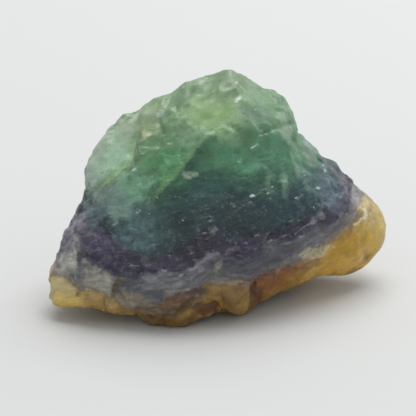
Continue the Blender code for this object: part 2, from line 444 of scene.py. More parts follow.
@dataclass(frozen=True)
class LumpSurface:
    """The stone's outer surface, laid over the CAD part from six grids.

    Attributes:
        heart: the point that every part of the surface can be seen from.
        parts: how many parts each side of a grid is cut into.
        reach: radius of the ball that is drawn in on to the part.
        passes: how often the surface is softened before it is broken again.
        crowding: how much the directions crowd towards the lump's ends, back and top.
        front: which way, and how much, they crowd towards the front.
    """

    heart: Triple = (-0.65, -2.71, 20.0)
    parts: int = 128
    reach: float = 60.0
    passes: int = 7
    crowding: Triple = (1.2, 1.0, 1.0)
    front: Triple = (0.0, -0.2, 0.05)

    def grids(self) -> tuple[np.ndarray, np.ndarray]:
        """Makes the six grids of directions and joins them along the edges of their cube.

        A grid point is a whole-number place on the cube's skin. Each of its numbers, from -1 to 1,
        is turned by the tangent of a quarter of pi times itself, which keeps the cells even, and
        the three are brought to length one.

        Returns:
            The directions, and the four corners of each cell, outward side out.
        """
        n = self.parts
        u, v = np.meshgrid(np.arange(n + 1), np.arange(n + 1), indexing="ij")
        corners, cells, start = [], [], 0
        number = np.arange((n + 1) ** 2).reshape(n + 1, n + 1)
        cell = np.stack((number[:-1, :-1], number[1:, :-1], number[1:, 1:], number[:-1, 1:]), axis=-1)
        for axis, end in itertools.product(range(3), (0, n)):
            grid = np.zeros((n + 1, n + 1, 3), int)
            grid[..., axis] = end
            grid[..., (axis + 1) % 3] = u
            grid[..., (axis + 2) % 3] = v
            corners.append(grid.reshape(-1, 3))
            ring = cell if end else cell[..., ::-1]
            cells.append(ring.reshape(-1, 4) + start)
            start += (n + 1) ** 2
        places, where = np.unique(np.concatenate(corners), axis=0, return_inverse=True)
        spread = np.tan((places / n * 2.0 - 1.0) * math.pi / 4.0)
        crowded = unit(spread) * self.crowding + self.front
        return unit(crowded), where.reshape(-1)[np.concatenate(cells)]

    def drawn_in(self, directions: np.ndarray, cells: np.ndarray, part: bpy.types.Object) -> np.ndarray:
        """Draws a ball of these directions in on to the CAD part.

        Args:
            directions: outward from the heart.
            cells: the corners of each cell.
            part: the CAD part.

        Returns:
            Where each direction meets the part, in millimetres.
        """
        ball_mesh = bpy.data.meshes.new("ball")
        skin = directions * self.reach * MM + np.array(self.heart) * MM
        ball_mesh.from_pydata(skin.tolist(), [], cells.tolist())
        ball = bpy.data.objects.new("ball", ball_mesh)
        bpy.context.scene.collection.objects.link(ball)
        wrap = ball.modifiers.new("wrap", "SHRINKWRAP")
        wrap.target = part
        wrap.wrap_method = "PROJECT"
        wrap.use_negative_direction = True
        wrap.use_positive_direction = False
        met = ball.evaluated_get(bpy.context.evaluated_depsgraph_get()).data
        places = np.zeros(len(directions) * 3)
        met.vertices.foreach_get("co", places)
        bpy.data.objects.remove(ball)
        bpy.data.meshes.remove(ball_mesh)
        return places.reshape(-1, 3) / MM


@dataclass(frozen=True)
class Web:
    """Which points of the surface neighbour each other.

    Attributes:
        cells: the four corners of each cell.
        count: how many points there are.
    """

    cells: np.ndarray
    count: int

    def around(self, values: np.ndarray) -> np.ndarray:
        """Works out the mean of each point's neighbours along the cells' sides.

        Args:
            values: one or more numbers for each point.

        Returns:
            The means, in the shape of values.
        """
        starts = self.cells.ravel()
        ends = np.roll(self.cells, -1, axis=1).ravel()
        number = np.bincount(starts, minlength=self.count) + np.bincount(ends, minlength=self.count)
        flat = values.reshape(self.count, -1)
        total = [
            np.bincount(starts, column[ends], self.count) + np.bincount(ends, column[starts], self.count)
            for column in flat.T
        ]
        return (np.stack(total, axis=-1) / number[:, None]).reshape(values.shape)

    def softened(self, values: np.ndarray, passes: int) -> np.ndarray:
        """Draws each value half way to the mean of its neighbours, the given number of times."""
        for _ in range(passes):
            values = values + (self.around(values) - values) * 0.5
        return values

    def normals(self, points: np.ndarray) -> np.ndarray:
        """Works out outward directions.

        The diagonals of each cell are crossed, and the results round a point are added up.

        Args:
            points: places in millimetres.

        Returns:
            One direction for each point.
        """
        a, b, c, d = (points[self.cells[:, i]] for i in range(4))
        crossed = np.cross(c - a, d - b)
        total = np.zeros_like(points)
        for i in range(4):
            for axis in range(3):
                total[:, axis] += np.bincount(self.cells[:, i], crossed[:, axis], self.count)
        return unit(total)


def seen_colour(red: float, green: float, blue: float) -> np.ndarray:
    """Turns a colour as a screen shows it, 0 to 255, into the light that it stands for."""
    shown = np.array((red, green, blue)) / 255.0
    return np.where(shown <= 0.04045, shown / 12.92, ((shown + 0.055) / 1.055) ** 2.4)


@dataclass(frozen=True)
class Patch:
    """A body of colour inside the stone, met where the line of sight reaches the surface; some are painted
    light and shade.

    Attributes:
        name: what it is.
        across: place of its middle across the picture plane, in millimetres.
        up: place of its middle up the picture plane.
        wide: half its width.
        high: half its height.
        turn_deg: how far it is turned, anticlockwise.
        colour: as a screen shows it, 0 to 255.
        strength: how fully it covers, from 0 to 1.
        soft: width of its edge, as a share of its size.
        ragged: how uneven its edge is.
        deep: half its depth, in millimetres.
        lift: how far the surface stands up there, or is sunk if below 0.
        NEAR: how near its middle, in millimetres, the surface is looked for.
        STRAY: how far its outline wanders, as a share of its smaller half size.
        WIDEST: the greatest half size that is counted for that.
    """

    NEAR = 0.7
    STRAY = 0.6
    WIDEST = 3.0

    name: str
    across: float
    up: float
    wide: float
    high: float
    turn_deg: float
    colour: Triple
    strength: float = 0.8
    soft: float = 0.5
    ragged: float = 0.5
    deep: float = 5.0
    lift: float = 0.0

    def cover(self, front: "FrontView") -> np.ndarray:
        """Works out how far the patch covers each point.

        The offset from the middle, strayed a little, turned and divided by the half sizes, gives a
        distance that is 1 at the edge. Noise moves that edge in and out, and the cover falls off
        across it.

        Args:
            front: the front view.

        Returns:
            Numbers from 0 to the strength.
        """
        away = front.seen[:, :2] - (self.across, self.up)
        near = np.abs(away).max(axis=1) < self.NEAR
        depth = front.seen[near, 2].min() if near.any() else np.median(front.seen[:, 2])
        away = away + front.stray * min(self.wide, self.high, self.WIDEST) * self.STRAY
        turn = math.radians(self.turn_deg)
        along = (away[:, 0] * math.cos(turn) + away[:, 1] * math.sin(turn)) / self.wide
        aside = (away[:, 1] * math.cos(turn) - away[:, 0] * math.sin(turn)) / self.high
        behind = (front.seen[:, 2] - depth) / self.deep
        distance = np.sqrt(along**2 + aside**2 + behind**2) + front.grain * self.ragged
        return (1.0 - smooth_rise(distance, 1.0 - self.soft, 1.0 + self.soft)) * self.strength


@dataclass(frozen=True)
class Trace:
    """A groove, ridge or pale line that runs over the front of the stone.

    Attributes:
        name: what it is.
        path: places that it passes, across and up the picture plane, in millimetres.
        wide: half its width.
        lift: how far it stands up, or how deep it is cut if below 0.
        colour: as a screen shows it, 0 to 255.
        strength: how fully the colour covers, from 0 to 1.
        WANDER: how far the line strays, as a share of the noise.
    """

    WANDER = 0.3

    name: str
    path: Route
    wide: float
    lift: float
    colour: Triple = (90, 96, 92)
    strength: float = 0.0

    def share(self, front: "FrontView") -> np.ndarray:
        """Works out how near each point is to the line, from 1 on it to 0 beside it.

        Args:
            front: the front view.

        Returns:
            Numbers from 0 to 1.
        """
        nearest, _ = front.beside(self.path, self.WANDER)
        return (1.0 - smooth_rise(np.abs(nearest) / self.wide, 0.1, 1.2)) * front.open


@dataclass(frozen=True)
class Edge:
    """A crisp edge that parts a lit side of the stone from a shaded one.

    Attributes:
        name: what it is, and the name of the surface's attribute for it.
        path: places that it passes, with the lit side on its left, in millimetres.
        lit: colour of the light along it, as a screen shows it, 0 to 255.
        lit_strength: how fully that colour covers at the edge.
        lit_reach: how far it carries.
        shade: colour of the shaded side.
        shade_strength: how fully that colour covers at the edge.
        shade_reach: how far it carries.
        WANDER: how far the edge strays, as a share of the noise.
        CRISP: how far from the edge, in millimetres, the one side gives way to the other.
    """

    WANDER = 0.15
    CRISP = 0.12

    name: str
    path: Route
    lit: Triple
    lit_strength: float
    lit_reach: float
    shade: Triple
    shade_strength: float
    shade_reach: float

    def sides(self, front: "FrontView") -> np.ndarray:
        """Measures the distance to the edge, above 0 on its lit side, and fades towards its ends.

        Args:
            front: the front view.

        Returns:
            Distance, fade and 0 for each point.
        """
        distance, part = front.beside(self.path, self.WANDER)
        fade = smooth_rise(part, 0.0, 0.2) * (1.0 - smooth_rise(part, 0.7, 1.0)) * front.open
        return np.stack((distance, fade, np.zeros_like(fade)), axis=-1)


@dataclass(frozen=True)
class FrontView:
    """The stone's points as the eye in front meets them.

    Attributes:
        seen: across, up and distance ahead of each point.
        open: 1 where nothing nearer hides the point, falling to 0 behind.
        grain: noise from -1 to 1 for uneven edges.
        stray: two such noises, softer, for wandering outlines.
    """

    seen: np.ndarray
    open: np.ndarray
    grain: np.ndarray
    stray: np.ndarray

    @classmethod
    def of(cls, sight: Sight, points: np.ndarray, cell: float = 0.8, depth: float = 3.0) -> "FrontView":
        """Measures points against the nearest point in their own cell of the picture plane.

        Args:
            sight: the line of sight.
            points: places in millimetres.
            cell: side of a cell.
            depth: how far behind the nearest point a point still counts as open.

        Returns:
            The front view.
        """
        seen = sight.seen(points)
        place = np.floor(seen[:, :2] / cell).astype(int)
        place -= place.min(axis=0)
        nearest = np.full(place.max(axis=0) + 1, np.inf)
        np.minimum.at(nearest, (place[:, 0], place[:, 1]), seen[:, 2])
        behind = seen[:, 2] - nearest[place[:, 0], place[:, 1]]
        grain = layered_noise(points, size=1.6, salt=51) * 0.6
        stray = np.stack([layered_noise(points, size=4.0, salt=salt) for salt in (52, 53)], axis=-1)
        return cls(seen, 1.0 - smooth_rise(behind, depth, depth * 2.0), grain, stray)

    def beside(self, path: Route, wander: float) -> tuple[np.ndarray, np.ndarray]:
        """Measures each point against a path of straight stretches on the picture plane.

        The nearest place on each stretch is found, and the nearest of those is kept. The distance
        is above 0 on the left of that stretch and below 0 on its right.

        Args:
            path: places that the path passes, across and up, in millimetres.
            wander: how far the path strays.

        Returns:
            The distance and the part of the path that is behind.
        """
        place = self.seen[:, :2] + self.stray * wander
        corners = np.array(path)
        lengths = np.linalg.norm(np.diff(corners, axis=0), axis=1)
        gone = np.concatenate(((0.0,), np.cumsum(lengths)))
        nearest = np.full(len(place), np.inf)
        part = np.zeros(len(place))
        for number, (start, end) in enumerate(zip(corners[:-1], corners[1:])):
            way = (end - start) / lengths[number]
            along = np.clip((place - start) @ way, 0.0, lengths[number])
            off = place - start - along[:, None] * way
            distance = np.linalg.norm(off, axis=1)
            closer = distance < np.abs(nearest)
            side = np.where(way[0] * off[:, 1] - way[1] * off[:, 0] >= 0.0, 1.0, -1.0)
            nearest = np.where(closer, distance * side, nearest)
            part = np.where(closer, (gone[number] + along) / gone[-1], part)
        return nearest, part


PATCHES = (
    Patch("body of the left lobe", -20.4, 36.0, 4.6, 7.0, -30, (178, 207, 176), 0.9, lift=-0.3),
    Patch("soft top of the left lobe", -18.4, 40.6, 2.8, 2.0, 10, (176, 192, 164), 0.7, 0.9),
    Patch("mint foot of the left lobe", -20.6, 33.4, 3.8, 2.6, 35, (174, 214, 184), 0.8, 0.9),
    Patch("grey rim of the left lobe", -24.2, 34.8, 1.6, 5.0, -24, (184, 198, 184), 0.6, 0.7, lift=1.3),
    Patch("blue foot of the left lobe", -24.2, 27.2, 1.8, 1.4, 30, (120, 144, 140), 0.7, 0.7),
    Patch("pale foot of the left lobe", -24.8, 29.6, 1.7, 2.6, -6, (168, 192, 176), 0.85, 0.7, 0.3),
    Patch("knob", -13.0, 42.8, 2.8, 4.2, 0, (150, 174, 138), lift=0.4),
    # Cream facet of the knob: painted reflection of the light on a small hollow facet.
    Patch("painted reflection on the facet of the knob", -13.4, 39.4, 2.7, 1.4, 14, (174, 198, 154), 0.8, 0.4, 0.3, deep=12.0),
    Patch("grey-green of the peak", 3.0, 48.0, 5.0, 2.4, 0, (120, 146, 112), 0.8),
    Patch("yellow-green of the crown", -0.4, 43.0, 7.0, 4.8, 0, (160, 191, 146)),
    Patch("bright wedge in the crown", -1.0, 41.8, 4.0, 2.6, 20, (150, 188, 128), 0.7),
    Patch("dark spot in the crown", -3.6, 47.0, 1.8, 1.0, 0, (118, 150, 112), 0.7, lift=-0.2),
    Patch("frost on the skyline", -4.5, 48.4, 3.0, 0.6, 20, (166, 186, 162), 0.6, 0.5, 1.0),
    Patch("grey facet under the peak", 7.8, 42.2, 4.6, 3.2, 0, (116, 148, 124), 0.8, lift=-0.2),
    Patch("right edge of the crown", 13.6, 41.0, 1.6, 5.0, 0, (132, 160, 132), 0.7),
    Patch("deep green middle", 4.0, 34.2, 8.2, 3.4, 0, (94, 156, 118), 0.8, 0.9),
    Patch("green above the ridge", -7.0, 37.6, 4.2, 2.0, 24, (136, 174, 138), 0.65, 0.9),
    Patch("green left of the ridge", -10.0, 32.6, 3.8, 4.4, 0, (98, 160, 110), 0.8),
    Patch("green below the lobe", -18.0, 27.0, 4.4, 3.9, -14, (140, 192, 158), 0.85, 0.8),
    Patch("grey foot of the lobe", -21.2, 26.2, 2.2, 3.2, 0, (138, 162, 154), 0.7, 0.8),
    Patch("shade right of the ridge", -3.0, 27.2, 4.2, 3.8, 0, (60, 102, 94), 0.65, 0.8),
    Patch("dark foot of the ridge", -7.6, 20.8, 2.8, 4.6, -18, (38, 54, 57), 0.6, 1.0),
    Patch("grey of the left face", -24.4, 22.6, 2.2, 4.2, -16, (98, 116, 122), 0.6, 0.9),
    Patch("grey below the left face", -26.4, 17.8, 1.5, 3.0, -16, (104, 98, 116), 0.6, 0.9),
    Patch("dark belly", 4.6, 22.4, 9.4, 4.2, 0, (42, 60, 67), 0.7, 0.8),
    Patch("teal of the left belly", -15.8, 19.2, 4.6, 4.2, -24, (93, 122, 127), 0.7, 1.0, 0.5),
    Patch("dark edge below the green", -14.2, 22.6, 3.0, 1.4, -10, (58, 86, 84), 0.65, 0.8, 0.7),
    Patch("pale teal below the lobe", -20.0, 24.2, 2.8, 2.4, 0, (130, 160, 150), 0.7, 0.9, 0.6),
    Patch("blue of the right belly", 15.2, 23.6, 6.4, 3.2, 24, (43, 68, 79), 0.7, 0.9, 0.6),
    Patch("first pale streak", 10.2, 29.0, 0.7, 2.4, 8, (114, 150, 124), 0.6, 0.7, 0.5, lift=0.15),
    Patch("second pale streak", 13.3, 28.8, 0.6, 2.6, 4, (122, 154, 132), 0.65, 0.7, 0.5, lift=0.15),
    Patch("green of the shoulder", 11.6, 34.2, 5.0, 4.0, 0, (90, 142, 112), 0.8, 0.8),
    Patch("pale patch of the shoulder", 18.6, 34.6, 1.7, 3.4, 20, (138, 160, 144), 0.75, 0.7),
    Patch("blue-green of the shoulder", 20.4, 29.4, 3.4, 3.4, 10, (78, 108, 106), 0.7, 0.8, 0.8),
    Patch("blue side of the shoulder", 22.6, 27.0, 2.4, 3.8, 10, (86, 106, 118), 0.75, 0.9, 0.6),
    Patch("lilac above the grey strip", 24.2, 24.0, 2.0, 1.6, 30, (90, 92, 108), 0.6, 0.8),
    Patch("grey strip on the right", 24.6, 20.6, 5.2, 1.3, 38, (104, 102, 110), 0.75),
    Patch("pale streaks on the right", 20.2, 21.6, 2.0, 0.7, 40, (130, 130, 140), 0.6, 0.6, 1.0),
    Patch("gold of the right lobe", 27.0, 14.8, 6.2, 4.2, 30, (194, 150, 38), 0.85),
    Patch("light gold of the right end", 31.8, 16.6, 3.0, 7.4, 4, (212, 174, 62), 0.85, deep=9.0, lift=0.4),
    # Low gold of the right lobe: the gold's own colour, made lighter underneath by painted glow of light
    # passing through.
    Patch("low gold of the right lobe with painted glow", 23.0, 11.4, 6.0, 1.6, 16, (236, 188, 84), 0.85, deep=10.0),
    Patch("pale rim of the right lobe", 31.0, 23.4, 1.9, 3.4, 16, (196, 178, 124), 0.65, 0.8),
    # Rim of the right end: the gold's colour, made lighter along the thin edge by painted glow.
    Patch(
        "rim of the right end with painted glow", 33.4, 17.4, 1.2, 6.4, 6, (214, 192, 126), 0.6, 0.8, 0.3,
        deep=14.0, lift=0.6,
    ),
    Patch("orange recess", 12.0, 8.8, 6.4, 2.0, 24, (154, 99, 50), 0.85, lift=-0.5),
    # Brown end of the recess beside the tooth: the recess's own brown, darkened as painted shade.
    Patch("brown end of the recess in painted shade", 8.2, 5.6, 1.6, 2.4, 14, (112, 68, 36), 0.8, lift=-0.5),
    Patch("face of the tooth", 3.2, 6.0, 3.4, 2.4, 8, (146, 112, 66), 0.9, lift=0.5),
    Patch("left wing of the tooth", -0.4, 7.2, 2.6, 1.3, -10, (162, 126, 72), 0.85),
    # Brown left of the tooth: the foot's amber, darkened as painted shade in the recess.
    Patch("brown left of the tooth in painted shade", -2.6, 3.0, 3.0, 1.5, 0, (116, 78, 42), 0.85, lift=-0.4),
    Patch("slate ledge", 10.6, 13.6, 8.4, 2.6, 18, (77, 80, 89), 0.75, lift=0.4),
    Patch("lilac wedge", -2.6, 12.6, 5.6, 1.1, 24, (122, 118, 130), 0.75, 0.6, 0.8, lift=0.3),
    Patch("mauve under the ledge", 9.0, 9.6, 5.2, 0.8, 16, (112, 88, 88), 0.8),
    Patch("blue-grey ledge", -10.8, 9.0, 5.6, 1.8, 6, (117, 119, 123), 0.8, lift=0.4),
    Patch("taupe step of the ledge", -16.6, 5.2, 3.4, 1.5, -20, (136, 124, 110), 0.8, lift=0.3),
    Patch("lilac lump", -24.0, 9.7, 3.6, 2.6, -24, (165, 162, 151), 0.8, 0.9, 0.3, lift=0.8),
    Patch("notch beside the lump", -20.2, 7.8, 0.9, 1.9, -28, (98, 88, 78), 0.8, lift=-0.7),
    Patch("grey of the left flank", -30.2, 13.4, 2.2, 3.8, -22, (162, 162, 155), 0.85),
    Patch("purple of the left flank", -29.8, 18.0, 1.3, 3.6, -18, (118, 110, 132), 0.7, 0.7, 0.8),
    Patch("light edge of the left flank", -28.0, 20.2, 1.4, 4.2, -20, (146, 142, 156), 0.7, 0.8, 0.8),
    Patch("left purple pool", -22.8, 16.6, 3.8, 2.0, -8, (76, 69, 96), 0.8, 0.7),
    Patch("middle purple pool", -10.8, 12.4, 4.6, 1.5, 6, (66, 61, 82), 0.85),
    Patch("speckled purple", -2.2, 17.0, 4.2, 1.7, 26, (52, 50, 66), 0.85, lift=0.2),
    Patch("purple spot on the ledge", 5.2, 14.2, 2.4, 1.1, 10, (56, 52, 74), 0.7, 0.6, 1.0),
    Patch("left gold block", -30.4, 5.8, 4.0, 2.0, 0, (234, 204, 116), 0.9, lift=0.2),
    Patch("honey top of the gold block", -31.0, 8.2, 3.4, 1.5, -8, (208, 190, 138), 0.8, 0.6, 0.3),
    Patch(
        "pale left end of the gold block", -33.4, 6.8, 0.9, 2.6, 0, (208, 190, 144), 0.8, 0.6, 0.3,
        deep=10.0,
    ),
    Patch("lower edge of the gold block", -29.8, 4.0, 4.2, 0.8, 0, (214, 172, 84), 0.6, lift=0.5),
    Patch("gold under the lump", -22.6, 4.6, 4.6, 1.9, -14, (190, 158, 96), 0.85),
    Patch("lilac-brown foot", -8.0, 4.6, 5.6, 1.7, 14, (111, 82, 57), 0.85, lift=0.4),
    Patch("dark top of the foot", -4.4, 7.0, 2.8, 0.7, 8, (84, 66, 64), 0.7),
    Patch("amber foot", -10.6, 1.0, 5.0, 1.3, 0, (130, 92, 34), 0.9),
    Patch("left bulge of the foot", -13.4, 1.2, 1.8, 1.0, 0, (144, 106, 42), 0.6, lift=0.9),
    Patch("right bulge of the foot", -6.4, 1.2, 1.8, 1.1, 0, (122, 84, 34), 0.6, lift=0.9),
)

# Pale marks: frost and pale patches of the stone, and painted glints and highlights.
PALE_PATCHES = (
    # Painted highlight at the foot of the knob's cream facet.
    Patch("painted highlight at the foot of the knob facet", -13.9, 38.5, 1.3, 0.5, -8, (214, 222, 184), 0.8, 0.6, 0.9),
    Patch("grey streak beside the knob", -10.8, 42.6, 0.6, 1.5, -35, (176, 188, 178), 0.6, 0.6, 1.0),
    Patch("glint under the peak", 4.2, 45.3, 1.1, 0.4, 38, (222, 230, 220), 0.8, 0.5, 1.0),
    Patch("pale patch beside the ridge", -5.6, 30.2, 1.7, 0.8, 4, (150, 166, 144), 0.75, 0.6, 1.2, lift=0.1),
    Patch("glint in the dark face", 7.0, 26.1, 0.5, 0.35, 10, (224, 232, 228), 0.8, 0.5, 1.4),
    Patch("lesser glint in the dark face", 11.0, 27.9, 0.45, 0.35, 10, (200, 214, 204), 0.8, 0.5, 1.0),
    Patch("glint in the right belly", 19.7, 27.4, 0.9, 0.3, 8, (186, 206, 202), 0.8, 0.5, 1.2),
    Patch("glint on the shoulder", 21.6, 31.0, 0.4, 0.4, 0, (186, 206, 196), 0.7, 0.5, 1.0),
    Patch("glint above the ridge", -9.8, 36.6, 0.8, 0.4, 10, (200, 214, 196), 0.7, 0.5, 1.0),
    # Painted glint below the lobe.
    Patch("painted glint below the lobe", -16.6, 31.2, 0.8, 0.25, 0, (196, 206, 192), 0.7, 0.5, 0.8),
    Patch("pale patch on the gold", 20.2, 14.7, 3.6, 1.1, 14, (192, 182, 150), 1.0, 0.4, 0.5, lift=0.15),
    Patch("pale facet of the gold block", -31.2, 8.4, 1.8, 0.5, 0, (188, 172, 128), 0.75, 0.5, 0.8),
    # Painted highlight on the edge of the lilac lump, where a facet catches the light.
    Patch("painted highlight on the edge of the lump", -21.8, 9.6, 0.6, 1.3, -18, (172, 166, 156), 0.7, 0.9, 1.2),
    Patch("cream line over the foot", -7.6, 7.1, 4.0, 0.3, 8, (158, 148, 124), 0.7, 0.6, 0.8),
    Patch("pale edge above the tooth", 3.6, 8.7, 3.6, 0.4, 0, (166, 150, 116), 0.7, 0.6, 0.8),
    Patch("pale wedge in the grey", -0.2, 11.0, 0.7, 1.8, -20, (156, 152, 136), 0.65, 0.6, 1.0, lift=0.2),
    Patch("frost on the lump", -24.4, 11.4, 2.4, 0.9, -10, (150, 146, 146), 0.5, 0.7, 1.0),
    Patch("frost on the ledge", -9.0, 8.4, 3.6, 0.6, 18, (146, 148, 150), 0.5, 0.7, 1.0),
    Patch("frost in the purple", -0.8, 18.9, 1.2, 0.5, 20, (150, 152, 150), 0.45, 0.8, 1.8),
)

SMOOTH_PLACES = (
    Patch("left lobe", -20.8, 35.6, 5.4, 8.0, -30, NO_COLOUR, 0.85),
    Patch("right lobe", 29.4, 17.4, 9.5, 9.0, 20, NO_COLOUR, 0.95, 0.4, 0.2, deep=30.0),
    Patch("low edge of the right gold", 20.0, 10.4, 8.5, 3.6, 18, NO_COLOUR, 0.9, 0.4, 0.3, deep=16.0),
)

CALM_PLACES = SMOOTH_PLACES + (
    Patch("gold block", -28.4, 5.4, 6.4, 2.6, 0, NO_COLOUR, 0.75),
    Patch("knob", -13.4, 42.0, 3.0, 3.6, 0, NO_COLOUR, 0.6),
    Patch("middle of the crown", -0.6, 41.2, 8.0, 5.0, 0, NO_COLOUR, 0.75),
    Patch("right of the crown", 10.0, 42.0, 6.0, 6.5, 0, NO_COLOUR, 0.6),
    Patch("shoulder", 18.4, 32.0, 6.5, 6.0, -30, NO_COLOUR, 0.65),
    Patch("slate ledge", 11.6, 14.0, 9.0, 3.0, 20, NO_COLOUR, 0.6),
    Patch("foot", -9.6, 1.6, 6.0, 2.2, 0, NO_COLOUR, 0.7),
    Patch("tooth", 3.0, 5.8, 4.0, 3.0, 0, NO_COLOUR, 0.6),
)

TRACES = (
    Trace("step of the left lobe", (
        (-15.8, 38.2), (-16.8, 36.6), (-17.2, 33.0), (-19.1, 31.6), (-21.1, 29.8), (-24.2, 26.8),
    ), 0.9, -0.4),
    Trace("left side of the knob", ((-16.0, 43.2), (-14.6, 44.8)), 0.6, -0.35, (100, 122, 100), 0.3),
    Trace("right side of the knob", (
        (-9.4, 46.0), (-10.4, 43.6), (-11.4, 41.0), (-10.8, 38.8),
    ), 0.7, -0.4, (100, 130, 108), 0.3),
    Trace("ledge under the crown", (
        (2.6, 39.8), (6.4, 38.0), (8.6, 37.8), (11.6, 39.2), (14.6, 40.6),
    ), 0.7, -0.25, (84, 124, 94), 0.3),
    Trace("slanting ridge", (
        (1.1, 39.2), (-2.5, 37.2), (-4.8, 34.4), (-7.3, 31.3), (-9.9, 28.2), (-12.4, 25.4),
    ), 0.9, 0.25),
    Trace("shade below the ridge", (
        (1.8, 38.0), (-2.0, 35.6), (-4.4, 33.0), (-6.6, 30.0), (-10.2, 25.4),
    ), 0.9, -0.25),
    Trace("lesser ridge", ((-12.4, 27.6), (-13.4, 24.2), (-14.6, 18.2)), 0.5, 0.2, (110, 146, 112), 0.22),
    Trace("edge of the left face", (
        (-25.8, 27.2), (-24.4, 22.2), (-21.4, 17.6),
    ), 0.8, -0.3, (58, 60, 72), 0.3),
    Trace("ridge of the left flank", (
        (-27.2, 24.0), (-28.2, 20.0), (-28.1, 14.2), (-27.9, 9.4),
    ), 0.6, 0.35),
    Trace("purple rim of the shoulder", (
        (20.8, 34.0), (22.8, 32.0), (24.8, 29.4), (25.8, 26.4), (25.2, 23.4),
    ), 0.9, 0.0, (76, 72, 90), 0.78),
    Trace("pale band outside the rim", (
        (26.8, 28.4), (27.8, 25.4), (27.9, 22.8), (26.0, 21.2),
    ), 0.8, 0.0, (146, 146, 138), 0.5),
    Trace("pale crescent", (
        (29.8, 23.3), (29.7, 22.2), (29.2, 21.4), (28.4, 20.7), (27.6, 20.2),
    ), 0.5, 0.0, (216, 208, 178), 0.8),
    Trace("rim under the dark face", (
        (8.6, 16.6), (16.6, 20.0), (20.0, 21.6),
    ), 0.7, -0.2, (40, 38, 50), 0.5),
    Trace("line over the left gold", (
        (-31.8, 9.9), (-30.8, 9.8), (-28.2, 7.9), (-25.5, 7.0), (-22.0, 6.4), (-20.6, 4.4),
    ), 0.6, -0.3, (120, 102, 84), 0.4),
    Trace("line over the right gold", (
        (9.2, 9.0), (13.2, 11.0), (17.4, 12.8), (23.1, 17.6), (26.0, 20.0), (28.8, 22.0),
    ), 0.6, -0.2, (122, 98, 76), 0.2),
    Trace("crease across the gold block", (
        (-32.6, 7.4), (-30.4, 7.2), (-27.3, 7.0),
    ), 0.4, -0.1, (150, 114, 58), 0.4),
    Trace("pale line in the gold", (
        (-27.6, 7.0), (-26.6, 5.0), (-25.4, 2.6),
    ), 0.4, 0.0, (166, 146, 112), 0.4),
    Trace("crack in the gold", ((-22.5, 6.2), (-22.4, 2.4)), 0.3, -0.3, (118, 86, 46), 0.5),
    Trace("lip over the amber foot", (
        (-16.6, 2.9), (-12.8, 2.3), (-10.1, 2.0), (-7.4, 3.2), (-5.5, 4.6), (-2.8, 6.2),
    ), 0.6, -0.55),
    # Groove at the left edge of the tooth; its brown line is painted shade.
    Trace("left edge of the tooth in painted shade", ((-2.0, 5.6), (0.6, 3.6), (2.6, 2.6)), 0.5, -0.4, (96, 68, 40), 0.4),
    Trace("right edge of the tooth", ((6.0, 2.1), (6.6, 4.0), (8.0, 8.0)), 0.6, -0.5),
    Trace("white line under the facet", (
        (8.6, 38.0), (10.2, 38.4), (11.8, 39.2),
    ), 0.35, 0.1, (186, 204, 188), 0.5),
    Trace("white flick", ((7.0, 35.7), (8.3, 36.5)), 0.35, 0.1, (200, 214, 200), 0.75),
)

EDGES = (
    Edge("lobe_step", (
        (-25.2, 25.3), (-24.2, 26.8), (-21.1, 29.9), (-19.1, 31.7), (-17.2, 32.9), (-16.7, 36.7),
        (-15.7, 38.8), (-15.7, 42.6),
    ), (152, 194, 128), 0.6, 1.8, (96, 114, 90), 0.55, 2.4),
    Edge("slanting_ridge", (
        (-13.6, 23.4), (-12.4, 25.2), (-9.9, 28.0), (-7.3, 31.1), (-4.8, 34.2), (-2.5, 37.0), (0.2, 38.6),
    ), (128, 158, 104), 0.4, 1.8, (56, 96, 80), 0.7, 4.0),
    Edge("tooth_side", (
        (5.8, 1.6), (6.3, 3.5), (7.9, 8.1), (8.6, 9.2),
    ), (168, 146, 100), 0.3, 1.4, (104, 66, 36), 0.7, 2.2),
    Edge("foot_lip", (
        (-17.6, 2.9), (-16.6, 2.7), (-12.8, 2.1), (-10.1, 1.9), (-7.4, 3.1), (-5.5, 4.6), (-2.4, 6.5),
    ), (128, 110, 96), 0.2, 0.8, (92, 64, 28), 0.8, 1.5),
    Edge("flank_ridge", (
        (-27.8, 8.6), (-28.0, 14.0), (-28.2, 20.0), (-27.4, 23.4),
    ), (162, 162, 158), 0.5, 0.8, (68, 62, 82), 0.35, 2.0),
)


def covered(places: tuple[Patch, ...], front: FrontView) -> np.ndarray:
    """Returns how far the places cover each point, by the one that covers it most."""
    return np.max([place.cover(front) for place in places], axis=0)


class Level(Enum):
    """The levels at which one growth layer gives way to the next, as shares of the whole."""

    BASE = 0.0
    GOLD_TOP = 0.25
    GREY_TOP = 0.45
    PURPLE_TOP = 0.55
    TEAL_TOP = 0.75
    GREEN_TOP = 0.88
    CROWN = 1.0


class Zone(Enum):
    """Layers that break in their own way, by the levels over which each sets in and gives out."""

    GOLD = ((-0.2, -0.1), (0.24, 0.28))
    GREY = ((0.24, 0.27), (0.40, 0.46))
    PURPLE = ((0.40, 0.46), (0.54, 0.58))
    BELLY = ((0.55, 0.60), (0.72, 0.84))

    def share(self, level: np.ndarray) -> np.ndarray:
        """Rises from 0 to 1 where the zone sets in and falls back to 0 where it gives out."""
        sets_in, gives_out = self.value
        return smooth_rise(level, *sets_in) * (1.0 - smooth_rise(level, *gives_out))


@dataclass(frozen=True)
class Relief:
    """How strongly one kind of relief shows, layer by layer.

    Attributes:
        everywhere: its strength in any layer.
        gold: what the gold layer adds.
        grey: what the grey layer adds.
        purple: what the purple layer adds.
        belly: what the dark teal face adds.
    """

    everywhere: float
    gold: float = 0.0
    grey: float = 0.0
    purple: float = 0.0
    belly: float = 0.0

    def strength(self, level: np.ndarray) -> np.ndarray:
        """Adds the strength everywhere and each layer's own, by its share at the level."""
        added = (self.gold, self.grey, self.purple, self.belly)
        return self.everywhere + sum(zone.share(level) * amount for zone, amount in zip(Zone, added))


